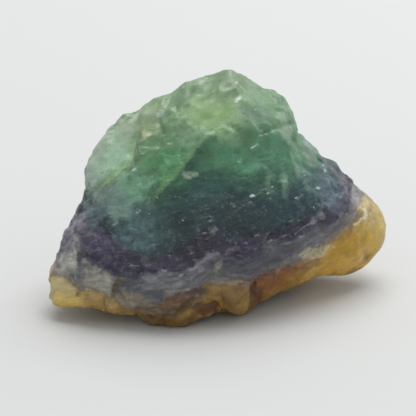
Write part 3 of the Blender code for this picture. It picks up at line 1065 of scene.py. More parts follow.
@dataclass(frozen=True)
class GrowthLayers:
    """The layers in which the crystal grew, as heights at places across the lump.

    Attributes:
        seen_tops: places where the front shows the top of a level, across and up the picture plane.
        tops: for each level, X and the height Z of its top at further places.
        dip: how much the layers rise to the back.
        sway: how far they wander up and down, in millimetres.
        back_sway: how far they wander at the back besides.
        thinnest: the least thickness of a layer.
    """

    seen_tops: tuple[tuple[Level, Route], ...] = (
        (Level.GOLD_TOP, (
            (-33.6, 10.9), (-30.8, 10.0), (-28.1, 8.1), (-25.4, 7.1), (-22.0, 6.5), (-20.4, 4.3),
            (-16.6, 2.7), (-12.8, 2.3), (-9.0, 2.3), (-6.7, 4.0), (-2.8, 6.5), (-1.7, 8.1),
            (1.7, 8.5), (6.3, 8.5), (10.2, 9.2), (14.0, 11.1), (18.2, 13.0), (20.5, 14.9),
            (23.9, 17.2), (26.7, 19.1), (28.4, 20.4), (29.8, 22.7), (30.2, 25.0),
        )),
        (Level.GREY_TOP, (
            (-30.2, 16.2), (-28.1, 15.3), (-26.9, 13.3), (-23.5, 12.3), (-20.8, 10.9), (-17.4, 10.8),
            (-14.3, 10.3), (-11.6, 10.0), (-9.0, 11.1), (-6.7, 11.9), (-5.1, 13.0), (-2.1, 14.3),
            (2.5, 14.4), (4.6, 13.5), (7.0, 13.7), (9.0, 15.2), (10.7, 16.1), (15.4, 18.3),
            (17.7, 19.2), (20.2, 19.9), (23.0, 20.3), (25.6, 22.0), (26.5, 23.3), (26.7, 25.9),
        )),
        (Level.PURPLE_TOP, (
            (-27.4, 20.8), (-25.4, 19.5), (-22.0, 18.4), (-20.1, 16.1), (-17.4, 15.3), (-14.3, 13.8),
            (-10.9, 13.6), (-9.0, 14.2), (-6.7, 15.0), (-4.8, 16.9), (-2.1, 18.6), (2.5, 17.1),
            (6.3, 17.1), (10.2, 17.8), (14.0, 19.2), (17.7, 20.4), (19.4, 21.6), (22.5, 22.5),
            (23.9, 23.8), (25.3, 26.8),
        )),
    )
    tops: tuple[tuple[Level, Route], ...] = (
        (Level.BASE, ((-30.0, -12.0), (-23.0, -3.0), (12.0, -3.0), (22.0, -16.0))),
        (Level.GOLD_TOP, ((30.8, 23.0),)),
        (Level.GREY_TOP, ((26.5, 24.0),)),
        (Level.PURPLE_TOP, ((-30.0, 23.0), (-28.6, 22.0), (25.2, 24.0))),
        (Level.TEAL_TOP, (
            (-30.0, 25.5), (-22.0, 24.0), (-15.0, 24.5), (-11.0, 27.0), (-5.0, 31.0), (0.0, 30.5),
            (5.0, 30.0), (10.0, 29.0), (15.0, 27.5), (20.0, 27.0), (26.0, 27.5), (34.0, 28.0),
        )),
        (Level.GREEN_TOP, (
            (-26.0, 29.0), (-20.0, 30.0), (-15.0, 33.0), (-10.0, 36.0), (0.0, 38.0), (8.0, 39.0),
            (14.0, 39.0), (20.0, 36.0), (30.0, 33.0),
        )),
        (Level.CROWN, ((0.0, 50.0),)),
    )
    dip: float = 0.05
    sway: float = 0.8
    back_sway: float = 3.0
    thinnest: float = 0.5

    def borders(self, sight: Sight, part: bpy.types.Object) -> list[np.ndarray]:
        """Finds the top of each level: the places seen in front, met on the part, and the others.

        Args:
            sight: the line of sight.
            part: the CAD part.

        Returns:
            X and Z of each level's places, in the order of X.
        """
        met = {level: sight.met(route, part)[:, [0, 2]] for level, route in self.seen_tops}
        borders = []
        for level, places in self.tops:
            border = np.concatenate((np.array(places), met.get(level, np.empty((0, 2)))))
            borders.append(border[np.argsort(border[:, 0])])
        return borders

    def share(self, points: np.ndarray, borders: list[np.ndarray]) -> np.ndarray:
        """Works out at which level each point lies.

        The height, less the dip and a wandering noise, is placed between the tops of the layers
        at its X, and each layer adds its part of the whole as the height passes through it.

        Args:
            points: places in millimetres.
            borders: X and Z of the top of each level.

        Returns:
            Numbers from 0 at the base to 1 at the crown.
        """
        behind = smooth_rise(points[:, 1], -8.0, 8.0)
        sway = layered_noise(points, size=7.0, salt=71) * self.sway
        sway += smooth_noise(points, size=17.0, salt=75) * self.back_sway * behind
        height = points[:, 2] - self.dip * (points[:, 1] + 15.0) + sway
        across = points[:, 0] + layered_noise(points, size=6.0, salt=72, layers=2) * self.sway
        tops = [np.interp(across, *border.T) for border in borders]
        total = np.zeros(len(points))
        for (lower, _), (upper, _), low, high in zip(self.tops[:-1], self.tops[1:], tops[:-1], tops[1:]):
            thick = np.maximum(high - low, self.thinnest)
            total += (upper.value - lower.value) * np.clip((height - low) / thick, 0.0, 1.0)
        return total


@dataclass(frozen=True)
class NodeBench:
    """Adds nodes to one material and joins them up.

    Attributes:
        tree: the material's node tree.
    """

    tree: bpy.types.NodeTree

    def joined(self, value: Feed, socket: Socket) -> None:
        """Feeds a socket from another socket or sets it to a plain value.

        Args:
            value: the other socket or the plain value.
            socket: the socket to feed.
        """
        if isinstance(value, Socket):
            self.tree.links.new(value, socket)
        else:
            socket.default_value = value

    def attribute(self, name: str) -> bpy.types.Node:
        """Reads one of the surface's own attributes.

        Args:
            name: of the attribute.

        Returns:
            The node that reads it.
        """
        node = self.tree.nodes.new("ShaderNodeAttribute")
        node.attribute_name = name
        return node

    def worked(self, operation: str, *values: Feed) -> Socket:
        """Works out one sum of numbers or sockets.

        Args:
            operation: the sum's name in a math node.
            values: what goes into it.

        Returns:
            The result.
        """
        node = self.tree.nodes.new("ShaderNodeMath")
        node.operation = operation
        for socket, value in zip(node.inputs, values):
            self.joined(value, socket)
        return node.outputs[0]

    def times(self, first: Feed, second: Feed) -> Socket:
        """Multiplies two numbers."""
        return self.worked("MULTIPLY", first, second)

    def ranged(self, value: Socket, low: float, high: float, start: float = 0.0, end: float = 1.0) -> Socket:
        """Carries low to high over to start to end along an S curve.

        Args:
            value: the number to carry over.
            low: where the curve leaves start.
            high: where it reaches end.
            start: the result up to low.
            end: the result from high on.

        Returns:
            The result.
        """
        node = self.tree.nodes.new("ShaderNodeMapRange")
        node.interpolation_type = "SMOOTHSTEP"
        fed = {"Value": value, "From Min": low, "From Max": high, "To Min": start, "To Max": end}
        for name, number in fed.items():
            self.joined(number, node.inputs[name])
        return node.outputs["Result"]

    def place(self, stretch: Triple = EVEN, turn_deg: Triple = UPRIGHT) -> Socket:
        """Gives the place on the object, turned and then stretched along its axes.

        Args:
            stretch: by how much each axis is multiplied.
            turn_deg: turns about the three axes.

        Returns:
            The place.
        """
        place = self.tree.nodes.new("ShaderNodeTexCoord")
        turned = self.tree.nodes.new("ShaderNodeMapping")
        turned.inputs["Rotation"].default_value = [math.radians(angle) for angle in turn_deg]
        scaled = self.tree.nodes.new("ShaderNodeMapping")
        scaled.inputs["Scale"].default_value = stretch
        self.tree.links.new(place.outputs["Object"], turned.inputs["Vector"])
        self.tree.links.new(turned.outputs[0], scaled.inputs["Vector"])
        return scaled.outputs[0]

    def noised(self, place: Socket, size: float, detail: float) -> Socket:
        """Gives noise at a place that is already turned and stretched.

        Args:
            place: where the noise is read.
            size: across its swells, in millimetres.
            detail: how many finer layers it has.

        Returns:
            A number from 0 to 1.
        """
        node = self.tree.nodes.new("ShaderNodeTexNoise")
        node.inputs["Scale"].default_value = 1.0 / (size * MM)
        node.inputs["Detail"].default_value = detail
        self.tree.links.new(place, node.inputs["Vector"])
        return node.outputs["Fac"]

    def noise(self, size: float, detail: float, stretch: Triple = EVEN, turn_deg: Triple = UPRIGHT) -> Socket:
        """Gives noise from 0 to 1 whose swells are about size millimetres across."""
        return self.noised(self.place(stretch, turn_deg), size, detail)

    def slanting(self, size: float, detail: float) -> Socket:
        """Gives noise in long lines that fall to the right, as the front's cleavage does."""
        return self.noise(size, detail, (0.22, 1.0, 2.4), (0.0, 14.0, 0.0))

    def stray(self, amount: float, size: float, detail: float, stretch: Triple = EVEN) -> Socket:
        """Gives noise round 0 that reaches about half the amount either way."""
        return self.times(self.worked("SUBTRACT", self.noise(size, detail, stretch), 0.5), amount)

    def factor(self, noise: Socket, low: float, high: float, sway: float, share: Feed = 1.0) -> Socket:
        """Turns noise into a factor round 1 that sways either way, where the share is 1."""
        return self.worked("ADD", self.times(self.ranged(noise, low, high, -sway, sway), share), 1.0)

    def along(self, level: Socket, size: float) -> Socket:
        """Gives noise in threads that run along the growth layers.

        The noise is read at a place whose height is the level, so it changes quickly from layer
        to layer, and along a layer about five times as slowly.

        Args:
            level: at which growth level the place lies.
            size: across a thread, in millimetres.

        Returns:
            A number from 0 to 1.
        """
        parts = self.parted(self.place((0.22, 0.22, 0.22)))
        joined = self.tree.nodes.new("ShaderNodeCombineXYZ")
        self.tree.links.new(parts[0], joined.inputs[0])
        self.tree.links.new(parts[1], joined.inputs[1])
        self.tree.links.new(self.times(level, LAYERS_HEIGHT * MM), joined.inputs[2])
        return self.noised(joined.outputs[0], size, 4.0)

    def parted(self, vector: Socket) -> tuple[Socket, Socket, Socket]:
        """Parts a vector into its three numbers.

        Args:
            vector: what to part.

        Returns:
            The three numbers.
        """
        node = self.tree.nodes.new("ShaderNodeSeparateXYZ")
        self.tree.links.new(vector, node.inputs[0])
        return tuple(node.outputs)

    def mixed(self, share: Feed, first: Feed, second: Feed) -> Socket:
        """Mixes two colours.

        Args:
            share: of the second colour, from 0 to 1.
            first: the colour underneath.
            second: the colour on top.

        Returns:
            The mixture.
        """
        node = self.tree.nodes.new("ShaderNodeMix")
        node.data_type = "RGBA"
        self.joined(share, node.inputs[0])
        self.joined(first, node.inputs[6])
        self.joined(second, node.inputs[7])
        return node.outputs[2]

    def scaled(self, colour: Socket, factor: Feed) -> Socket:
        """Makes a colour lighter or darker.

        Args:
            colour: the colour.
            factor: over 1 for lighter, under 1 for darker.

        Returns:
            The new colour.
        """
        node = self.tree.nodes.new("ShaderNodeVectorMath")
        node.operation = "SCALE"
        self.tree.links.new(colour, node.inputs[0])
        self.joined(factor, node.inputs["Scale"])
        return node.outputs[0]

    def ramp(self, value: Socket, stops: list[tuple[float, Quad]]) -> Socket:
        """Turns a number into a colour by stops along a ramp.

        Args:
            value: the number.
            stops: numbers in rising order, each with its colour.

        Returns:
            The colour.
        """
        node = self.tree.nodes.new("ShaderNodeValToRGB")
        made = node.color_ramp.elements
        made[0].position, made[0].color = stops[0]
        made[1].position, made[1].color = stops[-1]
        for position, colour in stops[1:-1]:
            made.new(position).color = colour
        self.tree.links.new(value, node.inputs[0])
        return node.outputs["Color"]

    def specks(self, apart: float, radius: float, kept: float, stretch: Triple = EVEN) -> Socket:
        """Gives small specks, one in each of the cells whose own number is over kept.

        Args:
            apart: size of a cell, in millimetres.
            radius: of a speck.
            kept: the share of the cells that stay empty.
            stretch: by how much each axis is multiplied.

        Returns:
            1 inside a speck and 0 outside.
        """
        node = self.tree.nodes.new("ShaderNodeTexVoronoi")
        node.inputs["Scale"].default_value = 1.0 / (apart * MM)
        self.tree.links.new(self.place(stretch, (20.0, 30.0, 10.0)), node.inputs["Vector"])
        near = self.ranged(node.outputs["Distance"], radius / apart * 0.6, radius / apart, 1.0, 0.0)
        parts = self.tree.nodes.new("ShaderNodeSeparateColor")
        self.tree.links.new(node.outputs["Color"], parts.inputs[0])
        return self.times(near, self.worked("GREATER_THAN", parts.outputs[0], kept))

    def scratches(self, size: float, stretch: Triple, turn_deg: Triple, fine: float) -> Socket:
        """Gives thin broken lines, where stretched noise passes through its middle.

        Args:
            size: across the noise's swells, in millimetres.
            stretch: by how much each axis is multiplied.
            turn_deg: turns about the three axes.
            fine: how far from the middle a line reaches.

        Returns:
            1 on a line and 0 beside it.
        """
        off = self.worked("ABSOLUTE", self.worked("SUBTRACT", self.noise(size, 1.5, stretch, turn_deg), 0.5))
        broken = self.ranged(self.noise(size * 1.3, 3.0), 0.52, 0.60)
        return self.times(self.ranged(off, fine * 0.4, fine, 1.0, 0.0), broken)


@dataclass(frozen=True)
class FluoriteFinish:
    """Cloudy, banded fluorite: coloured by its layers, striated, with painted glints and its edges pale by
    wear and painted sheen.

    Attributes:
        light_share: how bright the stone's light is beside the colours given.
        brightest: the greatest share of the light that the surface sends back.
        roughness: of the broken surface.
        gloss_sway: how much smoother or rougher it is from place to place.
        ior: of fluorite.
        absorption: colour that the stone lets through.
        absorption_density: how strongly it takes the rest.
        milky_depth: share of its depth that is left under milky marks.
        layer_stray: how far the layers' edges wander, as a share of all layers.
        ripple: height of the finest ripples, in millimetres.
        ripple_strength: how strongly they show.
        frost: colour of the frost, as a screen shows it, 0 to 255.
        edge: colour of the pale edges, part wear and part painted sheen.
        scratch: colour of scratches.
        dot: colour of the smallest specks, painted glints.
        fleck: colour of the larger flecks, painted glints.
        bands: colours along the growth layers.
        depths: share of the light that goes into the stone, along the growth layers.
    """

    light_share: float = 0.94
    brightest: float = 0.9
    roughness: float = 0.34
    gloss_sway: float = 0.14
    ior: float = 1.434
    absorption: Triple = (0.78, 0.80, 0.62)
    absorption_density: float = 14.0
    milky_depth: float = 0.25
    layer_stray: float = 0.045
    ripple: float = 0.12
    ripple_strength: float = 0.28
    frost: Triple = (190, 200, 190)
    edge: Triple = (188, 204, 188)
    scratch: Triple = (170, 186, 180)
    dot: Triple = (206, 214, 208)
    fleck: Triple = (204, 218, 200)
    bands: tuple[tuple[float, Triple], ...] = (
        (0.00, (114, 74, 32)),
        (0.08, (158, 115, 50)),
        (0.20, (180, 141, 66)),
        (0.245, (150, 122, 84)),
        (0.27, (132, 125, 120)),
        (0.34, (108, 108, 115)),
        (0.42, (79, 82, 93)),
        (0.455, (56, 52, 72)),
        (0.54, (54, 50, 71)),
        (0.57, (46, 61, 68)),
        (0.64, (50, 75, 74)),
        (0.72, (62, 102, 87)),
        (0.77, (84, 134, 100)),
        (0.86, (108, 150, 110)),
        (0.92, (132, 164, 126)),
        (1.00, (138, 160, 130)),
    )
    depths: tuple[tuple[float, float], ...] = (
        (0.0, 0.26), (0.22, 0.32), (0.28, 0.24), (0.42, 0.22),
        (0.46, 0.18), (0.6, 0.22), (0.76, 0.28), (1.0, 0.24),
    )

    def base(self, colour: Triple) -> Quad:
        """Finds the surface colour that looks like a given one in the stone's light.

        The light that the colour stands for is divided by the stone's light. Where a part of it
        would pass the brightest, all three are brought down together, which keeps the hue.

        Args:
            colour: as a screen shows it, 0 to 255.

        Returns:
            The colour for a socket.
        """
        light = seen_colour(*colour) / self.light_share
        light *= min(1.0, self.brightest / light.max())
        return (*light.tolist(), 1.0)

    def marked(
        self, bench: NodeBench, colour: Socket, name: str, grain: float, ragged: float
    ) -> tuple[Socket, Socket]:
        """Lays the marks in one attribute over a colour, with edges broken up by noise.

        Args:
            bench: the material's nodes.
            colour: what lies under the marks.
            name: of the attribute, which holds their colour and their cover.
            grain: size of the noise, in millimetres.
            ragged: how far it moves the edges.

        Returns:
            The colour and how far the marks cover it.
        """
        marks = bench.attribute(name)
        strayed = bench.worked("ADD", marks.outputs["Alpha"], bench.stray(ragged, grain, 4.0))
        cover = bench.ranged(strayed, 0.15, 0.85)
        cover = bench.times(cover, bench.ranged(marks.outputs["Alpha"], 0.0, 0.1))
        return bench.mixed(cover, colour, marks.outputs["Color"]), cover

    def edged(self, bench: NodeBench, colour: Socket, edge: Edge) -> Socket:
        """Lays the light and the shade along one edge over a colour.

        Args:
            bench: the material's nodes.
            colour: what lies under them.
            edge: the edge.

        Returns:
            The colour.
        """
        distance, fade, _ = bench.parted(bench.attribute(edge.name).outputs["Vector"])
        distance = bench.worked("ADD", distance, bench.stray(1.2, 1.4, 5.0))
        over = bench.ranged(distance, -edge.CRISP, edge.CRISP)
        under = bench.ranged(distance, -edge.CRISP, edge.CRISP, 1.0, 0.0)
        lit = bench.times(over, bench.ranged(distance, 0.0, edge.lit_reach, 1.0, 0.0))
        shade = bench.times(under, bench.ranged(distance, -edge.shade_reach, 0.0))
        sides = ((lit, edge.lit, edge.lit_strength), (shade, edge.shade, edge.shade_strength))
        for share, shown, strength in sides:
            share = bench.times(share, bench.times(fade, strength))
            colour = bench.mixed(share, colour, self.base(shown))
        return colour

    def tinted(self, bench: NodeBench, level: Socket) -> Socket:
        """Colours the growth layers and lays the named patches and edges over them, with painted light and
        shade.

        Args:
            bench: the material's nodes.
            level: at which growth level the place lies.

        Returns:
            The colour.
        """
        stops = [(place, self.base(shown)) for place, shown in self.bands]
        colour, _ = self.marked(bench, bench.ramp(level, stops), "tint", grain=0.9, ragged=0.6)
        for edge in EDGES:
            colour = self.edged(bench, colour, edge)
        return colour

    def striated(self, bench: NodeBench, colour: Socket, level: Socket) -> Socket:
        """Breaks a colour up with threads, clouds, grain and slanting lines.

        Each is a factor round 1. The threads run along the grey and purple layers alone, and the
        lines are faint in the gold and in the crown.

        Args:
            bench: the material's nodes.
            colour: what is broken up.
            level: at which growth level the place lies.

        Returns:
            The colour.
        """
        banded = bench.times(bench.ranged(level, 0.2, 0.27), bench.ranged(level, 0.54, 0.64, 1.0, 0.0))
        lined = bench.ranged(level, 0.72, 0.84, 1.0, 0.25)
        lined = bench.times(lined, bench.ranged(level, 0.2, 0.3, 0.4, 1.0))
        threads = bench.factor(bench.along(level, 0.9), 0.32, 0.68, 0.26, banded)
        clouds = bench.factor(bench.noise(2.6, 4.0), 0.3, 0.7, 0.12)
        grain = bench.factor(bench.noise(0.45, 2.0), 0.3, 0.7, 0.04)
        lines = bench.factor(bench.slanting(0.9, 3.0), 0.3, 0.7, 0.18, lined)
        for factor in (threads, clouds, grain, lines):
            colour = bench.scaled(colour, factor)
        return colour

    def frosted(self, bench: NodeBench, colour: Socket, level: Socket) -> tuple[Socket, Socket]:
        """Lays the pale marks, painted glints among them, and drifts of frost over a colour, both broken into
        streaks.

        Args:
            bench: the material's nodes.
            colour: what lies under them.
            level: at which growth level the place lies.

        Returns:
            The colour and how milky it is.
        """
        # The pale marks hold the stone's frost and pale patches, and painted glints and highlights.
        laid, milky = self.marked(bench, colour, "pale", grain=0.5, ragged=0.8)
        drifts = bench.ranged(bench.noise(3.6, 3.0, (0.7, 1.0, 1.3)), 0.62, 0.72)
        frost = bench.times(drifts, bench.ranged(level, 0.72, 0.9, 0.3, 0.12))
        bare = bench.times(frost, bench.ranged(milky, 0.0, 0.2, 1.0, 0.0))
        laid = bench.mixed(bare, laid, bench.mixed(0.4, colour, self.base(self.frost)))
        streaks = bench.noise(0.5, 4.0, (0.4, 1.0, 1.8), (0.0, -25.0, 0.0))
        streaky = bench.ranged(streaks, 0.32, 0.62, 0.3, 1.0)
        milky = bench.times(bench.worked("MAXIMUM", milky, frost), streaky)
        return bench.mixed(streaky, colour, laid), milky

    def worn_and_sheen(self, bench: NodeBench, colour: Socket, level: Socket) -> tuple[Socket, Socket]:
        """Lays pale edges of wear and painted sheen, scratches, and dots and flecks of painted glint over a
        colour.

        The scratches are strongest on the dark face, the dots of painted glint lie in swarms, and the
        flecks of painted glint are broken up and strongest in the green.

        Args:
            bench: the material's nodes.
            colour: what lies under them.
            level: at which growth level the place lies.

        Returns:
            The colour and how milky its scratches and glint dots are.
        """
        # Pale edges: part wear, part painted sheen where an edge catches the light.
        wear_and_sheen = bench.attribute("wear_and_sheen").outputs["Fac"]
        wear_and_sheen = bench.times(wear_and_sheen, bench.ranged(bench.noise(0.7, 3.0), 0.42, 0.62))
        wear_and_sheen = bench.times(wear_and_sheen, bench.ranged(level, 0.72, 0.9, 0.26, 0.16))
        dark = bench.times(bench.ranged(level, 0.42, 0.47), bench.ranged(level, 0.68, 0.78, 1.0, 0.0))
        flat = bench.scratches(1.2, (0.3, 1.0, 2.2), (0.0, 8.0, 0.0), 0.012)
        slant = bench.scratches(1.4, (0.35, 1.0, 2.0), (0.0, -38.0, 0.0), 0.010)
        scratched = bench.worked("MAXIMUM", flat, slant)
        scratched = bench.times(scratched, bench.ranged(dark, 0.0, 1.0, 0.14, 0.42))
        # Dots and flecks: painted glints, small bright sparks where the surface catches the light.
        swarms = bench.ranged(bench.noise(5.0, 2.0), 0.45, 0.6, 0.15, 0.8)
        glint_dots = bench.times(bench.specks(1.5, 0.16, 0.62), swarms)
        broken = bench.ranged(bench.noise(0.5, 3.0, (1.0, 1.0, 1.6)), 0.46, 0.56)
        glint_flecks = bench.times(bench.specks(4.2, 0.62, 0.5, (0.75, 1.0, 1.9)), broken)
        glint_flecks = bench.times(glint_flecks, bench.ranged(level, 0.56, 0.8, 0.35, 0.8))
        marks = ((wear_and_sheen, self.edge), (scratched, self.scratch), (glint_dots, self.dot), (glint_flecks, self.fleck))
        for share, shown in marks:
            colour = bench.mixed(share, colour, self.base(shown))
        return colour, bench.worked("MAXIMUM", glint_dots, scratched)

    def material(self) -> bpy.types.Material:
        """Builds the node material.

        Returns:
            The material.
        """
        material = bpy.data.materials.new("banded_fluorite")
        material.use_nodes = True
        bench = NodeBench(material.node_tree)
        shader = material.node_tree.nodes["Principled BSDF"]
        shader.inputs["IOR"].default_value = self.ior
        strayed = bench.stray(self.layer_stray, 1.3, 5.0, (0.5, 0.5, 1.4))
        level = bench.worked("ADD", bench.attribute("layer").outputs["Fac"], strayed)
        colour = self.striated(bench, self.tinted(bench, level), level)
        colour, milky = self.frosted(bench, colour, level)
        colour, pale = self.worn_and_sheen(bench, colour, level)
        milky = bench.worked("MAXIMUM", milky, pale)
        bench.joined(colour, shader.inputs["Base Color"])
        deep = bench.ramp(level, [(place, (share, share, share, 1.0)) for place, share in self.depths])
        clear = bench.times(deep, bench.ranged(milky, 0.0, 1.0, 1.0, self.milky_depth))
        bench.joined(clear, shader.inputs["Transmission Weight"])
        ends = (self.roughness - self.gloss_sway, self.roughness + self.gloss_sway)
        bench.joined(bench.ranged(bench.noise(1.8, 4.0), 0.35, 0.7, *ends), shader.inputs["Roughness"])
        bump = material.node_tree.nodes.new("ShaderNodeBump")
        bump.inputs["Distance"].default_value = self.ripple * MM
        bump.inputs["Strength"].default_value = self.ripple_strength
        rippled = bench.worked("ADD", bench.noise(0.6, 2.0), bench.slanting(0.7, 2.0))
        bench.joined(rippled, bump.inputs["Height"])
        bench.joined(bump.outputs["Normal"], shader.inputs["Normal"])
        volume = material.node_tree.nodes.new("ShaderNodeVolumeAbsorption")
        volume.inputs["Color"].default_value = (*self.absorption, 1.0)
        volume.inputs["Density"].default_value = self.absorption_density
        bench.joined(volume.outputs[0], material.node_tree.nodes["Material Output"].inputs["Volume"])
        return material


@dataclass(frozen=True)
class BrokenLump:
    """The whole lump of banded fluorite, in one piece.

    Attributes:
        sight: the line of sight that its front is laid out by.
        surface: the grids that are laid over the CAD part.
        crystal: how the crystal lies in it.
        layers: its growth layers.
        finish: its surface.
        scoops: its hollows, each kind with its strength.
        chips: its chips, each kind with its strength.
        fibres: strength of the fibres along the layers.
        calm_fibres: share of them that stays in the calm places.
        tall_steps: the cleavage steps of its patches of tall steps.
        low_steps: those between such patches.
        giving_way: how far the low steps give way to the tall ones.
        stepped: strength of all steps.
        smooth_passes: how often its smooth places are softened.
        worn_and_sheen: how far an edge stands out where its wear and painted sheen begin and where they are
            full.
        sharp_deg: angle over which an edge between cells stays crisp.
    """

    sight: Sight = Sight()
    surface: LumpSurface = LumpSurface()
    crystal: Crystal = Crystal()
    layers: GrowthLayers = GrowthLayers()
    finish: FluoriteFinish = FluoriteFinish()
    scoops: tuple[tuple[Scoops, Relief], ...] = (
        (Scoops(size=5.5, depth=0.32, stray=1.6, salt=21), Relief(1.0, belly=-0.7)),
        (Scoops(size=2.4, depth=0.07, stray=0.8, salt=22), Relief(1.0, belly=-0.5)),
    )
    chips: tuple[tuple[Hackle, Relief], ...] = (
        (Hackle(size=1.5, tilt=0.18, salt=23), Relief(0.08, grey=0.15, purple=0.4)),
        (Hackle(size=4.2, tilt=0.15, salt=27), Relief(0.35, gold=0.65, grey=0.3, purple=0.2)),
    )
    fibres: Relief = Relief(0.06, gold=0.08, grey=0.15, purple=0.20)
    calm_fibres: float = 0.3
    tall_steps: Steps = Steps(
        height=0.8, riser=0.3, wander=0.35, wander_size=12.0, facing=(0.84, 0.96), amount=0.45, salt=11
    )
    low_steps: Steps = Steps(
        height=0.4, riser=0.35, wander=0.4, wander_size=9.0, facing=(0.86, 0.96), amount=0.4, salt=31
    )
    giving_way: float = 0.6
    stepped: Relief = Relief(1.0, belly=-0.8)
    smooth_passes: int = 40
    worn_and_sheen: Pair = (0.015, 0.08)
    sharp_deg: float = 38.0

    def roughened(self, web: Web, points: np.ndarray, level: np.ndarray, loud: np.ndarray) -> np.ndarray:
        """Breaks the surface up with scoops, chips, fibres and cleavage steps.

        Scoops, chips and fibres stand along the outward directions, each by its strength in the
        point's layer. The fibres are noise read at a place whose height is the level, drawn out
        four times along the layers. Tall and low steps follow, in patches.

        Args:
            web: the neighbours.
            points: places in millimetres.
            level: at which growth level each point lies.
            loud: how strongly each point is broken up, less in the calm places.

        Returns:
            The new places.
        """
        normals = web.softened(web.normals(points), 2)
        hollows = sum(kind.height(points) * relief.strength(level) for kind, relief in self.scoops)
        chips = sum(kind.height(points) * relief.strength(level) for kind, relief in self.chips)
        drawn = np.stack((points[:, 0] / 4.0, points[:, 1] / 4.0, level * LAYERS_HEIGHT), axis=-1)
        fibres = layered_noise(drawn, size=1.3, salt=29, layers=2) * self.fibres.strength(level)
        kept_fibres = self.calm_fibres + (1.0 - self.calm_fibres) * loud
        rise = (hollows + web.softened(chips, 1)) * loud + fibres * kept_fibres
        points = points + normals * rise[:, None]
        patchy = smooth_rise(layered_noise(points, size=6.0, salt=33), -0.1, 0.5)
        amount = loud * self.stepped.strength(level)
        for steps, share in ((self.tall_steps, patchy), (self.low_steps, 1.0 - self.giving_way * patchy)):
            facing = web.normals(web.softened(points, 3))
            points = points + steps.shift(points, facing, self.crystal.faces()) * (share * amount)[:, None]
        return points

    def raised(self, web: Web, points: np.ndarray, rise: np.ndarray) -> np.ndarray:
        """Moves each point along its outward direction by its own rise."""
        return points + web.softened(web.normals(points), 2) * rise[:, None]

    def formed(
        self, web: Web, points: np.ndarray, front: FrontView, level: np.ndarray, loud: np.ndarray
    ) -> np.ndarray:
        """Gives the drawn surface its smooth places, lifts, broken relief, grooves and ridges.

        Args:
            web: the neighbours.
            points: places in millimetres.
            front: the front view.
            level: at which growth level each point lies.
            loud: how strongly each point is broken up, less in the calm places.

        Returns:
            The new places.
        """
        smooth = covered(SMOOTH_PLACES, front)
        points = points + (web.softened(points, self.smooth_passes) - points) * smooth[:, None]
        lifts = sum(patch.cover(front) * patch.lift for patch in PATCHES + PALE_PATCHES if patch.lift)
        points = self.raised(web, points, lifts)
        points = self.roughened(web, points, level, loud)
        return self.raised(web, points, sum(trace.share(front) * trace.lift for trace in TRACES))

    def marks(self, front: FrontView) -> dict[str, np.ndarray]:
        """Composes the named patches and lines into a colour and a cover at each point.

        Each mark's colour is blended into what lies under it, by its own share of the two covers,
        and the two covers join as one less the product of what each leaves open.

        Args:
            front: the front view.

        Returns:
            Four numbers at each point, for the tints and for the pale marks; both hold some painted light and
            shade.
        """
        made = {name: np.zeros((len(front.grain), 4)) for name in ("tint", "pale")}
        laid = [("tint", patch.colour, patch.cover(front)) for patch in PATCHES]
        laid += [("pale", patch.colour, patch.cover(front)) for patch in PALE_PATCHES]
        laid += [("pale", line.colour, line.share(front) * line.strength) for line in TRACES if line.strength]
        for name, shown, cover in laid:
            target = made[name]
            blend = cover / np.maximum(cover + target[:, 3] * (1.0 - cover), 1e-6)
            target[:, :3] += (np.array(self.finish.base(shown)[:3]) - target[:, :3]) * blend[:, None]
            target[:, 3] += cover * (1.0 - target[:, 3])
        return made

    def wear_and_sheen(self, web: Web, points: np.ndarray) -> np.ndarray:
        """Finds the edges, pale by wear and painted sheen: how far each point stands out from the mean of its
        neighbours.
        """
        bulge = np.einsum("ij,ij->i", points - web.around(points), web.normals(points))
        return smooth_rise(web.softened(bulge, 1), *self.worn_and_sheen)

    def build(self, part: bpy.types.Object, box: tuple[Vector, Vector]) -> bpy.types.Object:
        """Builds and dresses the lump inside the CAD part's box.

        Args:
            part: the CAD part.
            box: its lowest and highest corners, in metres.

        Returns:
            The finished piece.
        """
        directions, cells = self.surface.grids()
        points = self.surface.drawn_in(directions, cells, part)
        web = Web(cells, len(points))
        points = web.softened(points, self.surface.passes)
        level = self.layers.share(points, self.layers.borders(self.sight, part))
        front = FrontView.of(self.sight, points)
        loud = 1.0 - covered(CALM_PLACES, front)
        points = self.formed(web, points, front, level, loud)
        points = np.clip(points, np.array(box[0]) / MM, np.array(box[1]) / MM)
        mesh = bpy.data.meshes.new("broken_surface")
        mesh.from_pydata((points * MM).tolist(), [], cells.tolist())
        mesh.shade_smooth()
        mesh.set_sharp_from_angle(angle=math.radians(self.sharp_deg))
        # The edge attribute holds the pale edges, part wear and part painted sheen.
        for name, values in (("layer", level), ("wear_and_sheen", self.wear_and_sheen(web, points) * loud)):
            mesh.attributes.new(name, "FLOAT", "POINT").data.foreach_set("value", values)
        for name, values in self.marks(front).items():
            mesh.attributes.new(name, "FLOAT_COLOR", "POINT").data.foreach_set("color", values.ravel())
        for edge in EDGES:
            made = mesh.attributes.new(edge.name, "FLOAT_VECTOR", "POINT")
            made.data.foreach_set("vector", edge.sides(front).ravel())
        mesh.materials.append(self.finish.material())
        lump = bpy.data.objects.new("broken_surface", mesh)
        bpy.context.scene.collection.objects.link(lump)
        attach(lump, "root")
        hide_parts("fluorite_lump")
        return lump


@dataclass(frozen=True)
class Lamp:
    """A square soft light that faces the middle of the stone's foot.

    Attributes:
        name: what it is.
        place: where it hangs, in millimetres.
        side: of its square, in millimetres.
        watts: its power.
    """

    name: str
    place: Triple
    side: float
    watts: float

    def hang(self) -> None:
        """Hangs the light in its place."""
        lamp = bpy.data.lights.new(self.name, "AREA")
        lamp.shape = "SQUARE"
        lamp.size = self.side * MM
        lamp.energy = self.watts
        holder = bpy.data.objects.new(self.name, lamp)
        holder.location = Vector(self.place) * MM
        holder.rotation_euler = (-Vector(self.place)).to_track_quat("-Z", "Y").to_euler()
        bpy.context.scene.collection.objects.link(holder)


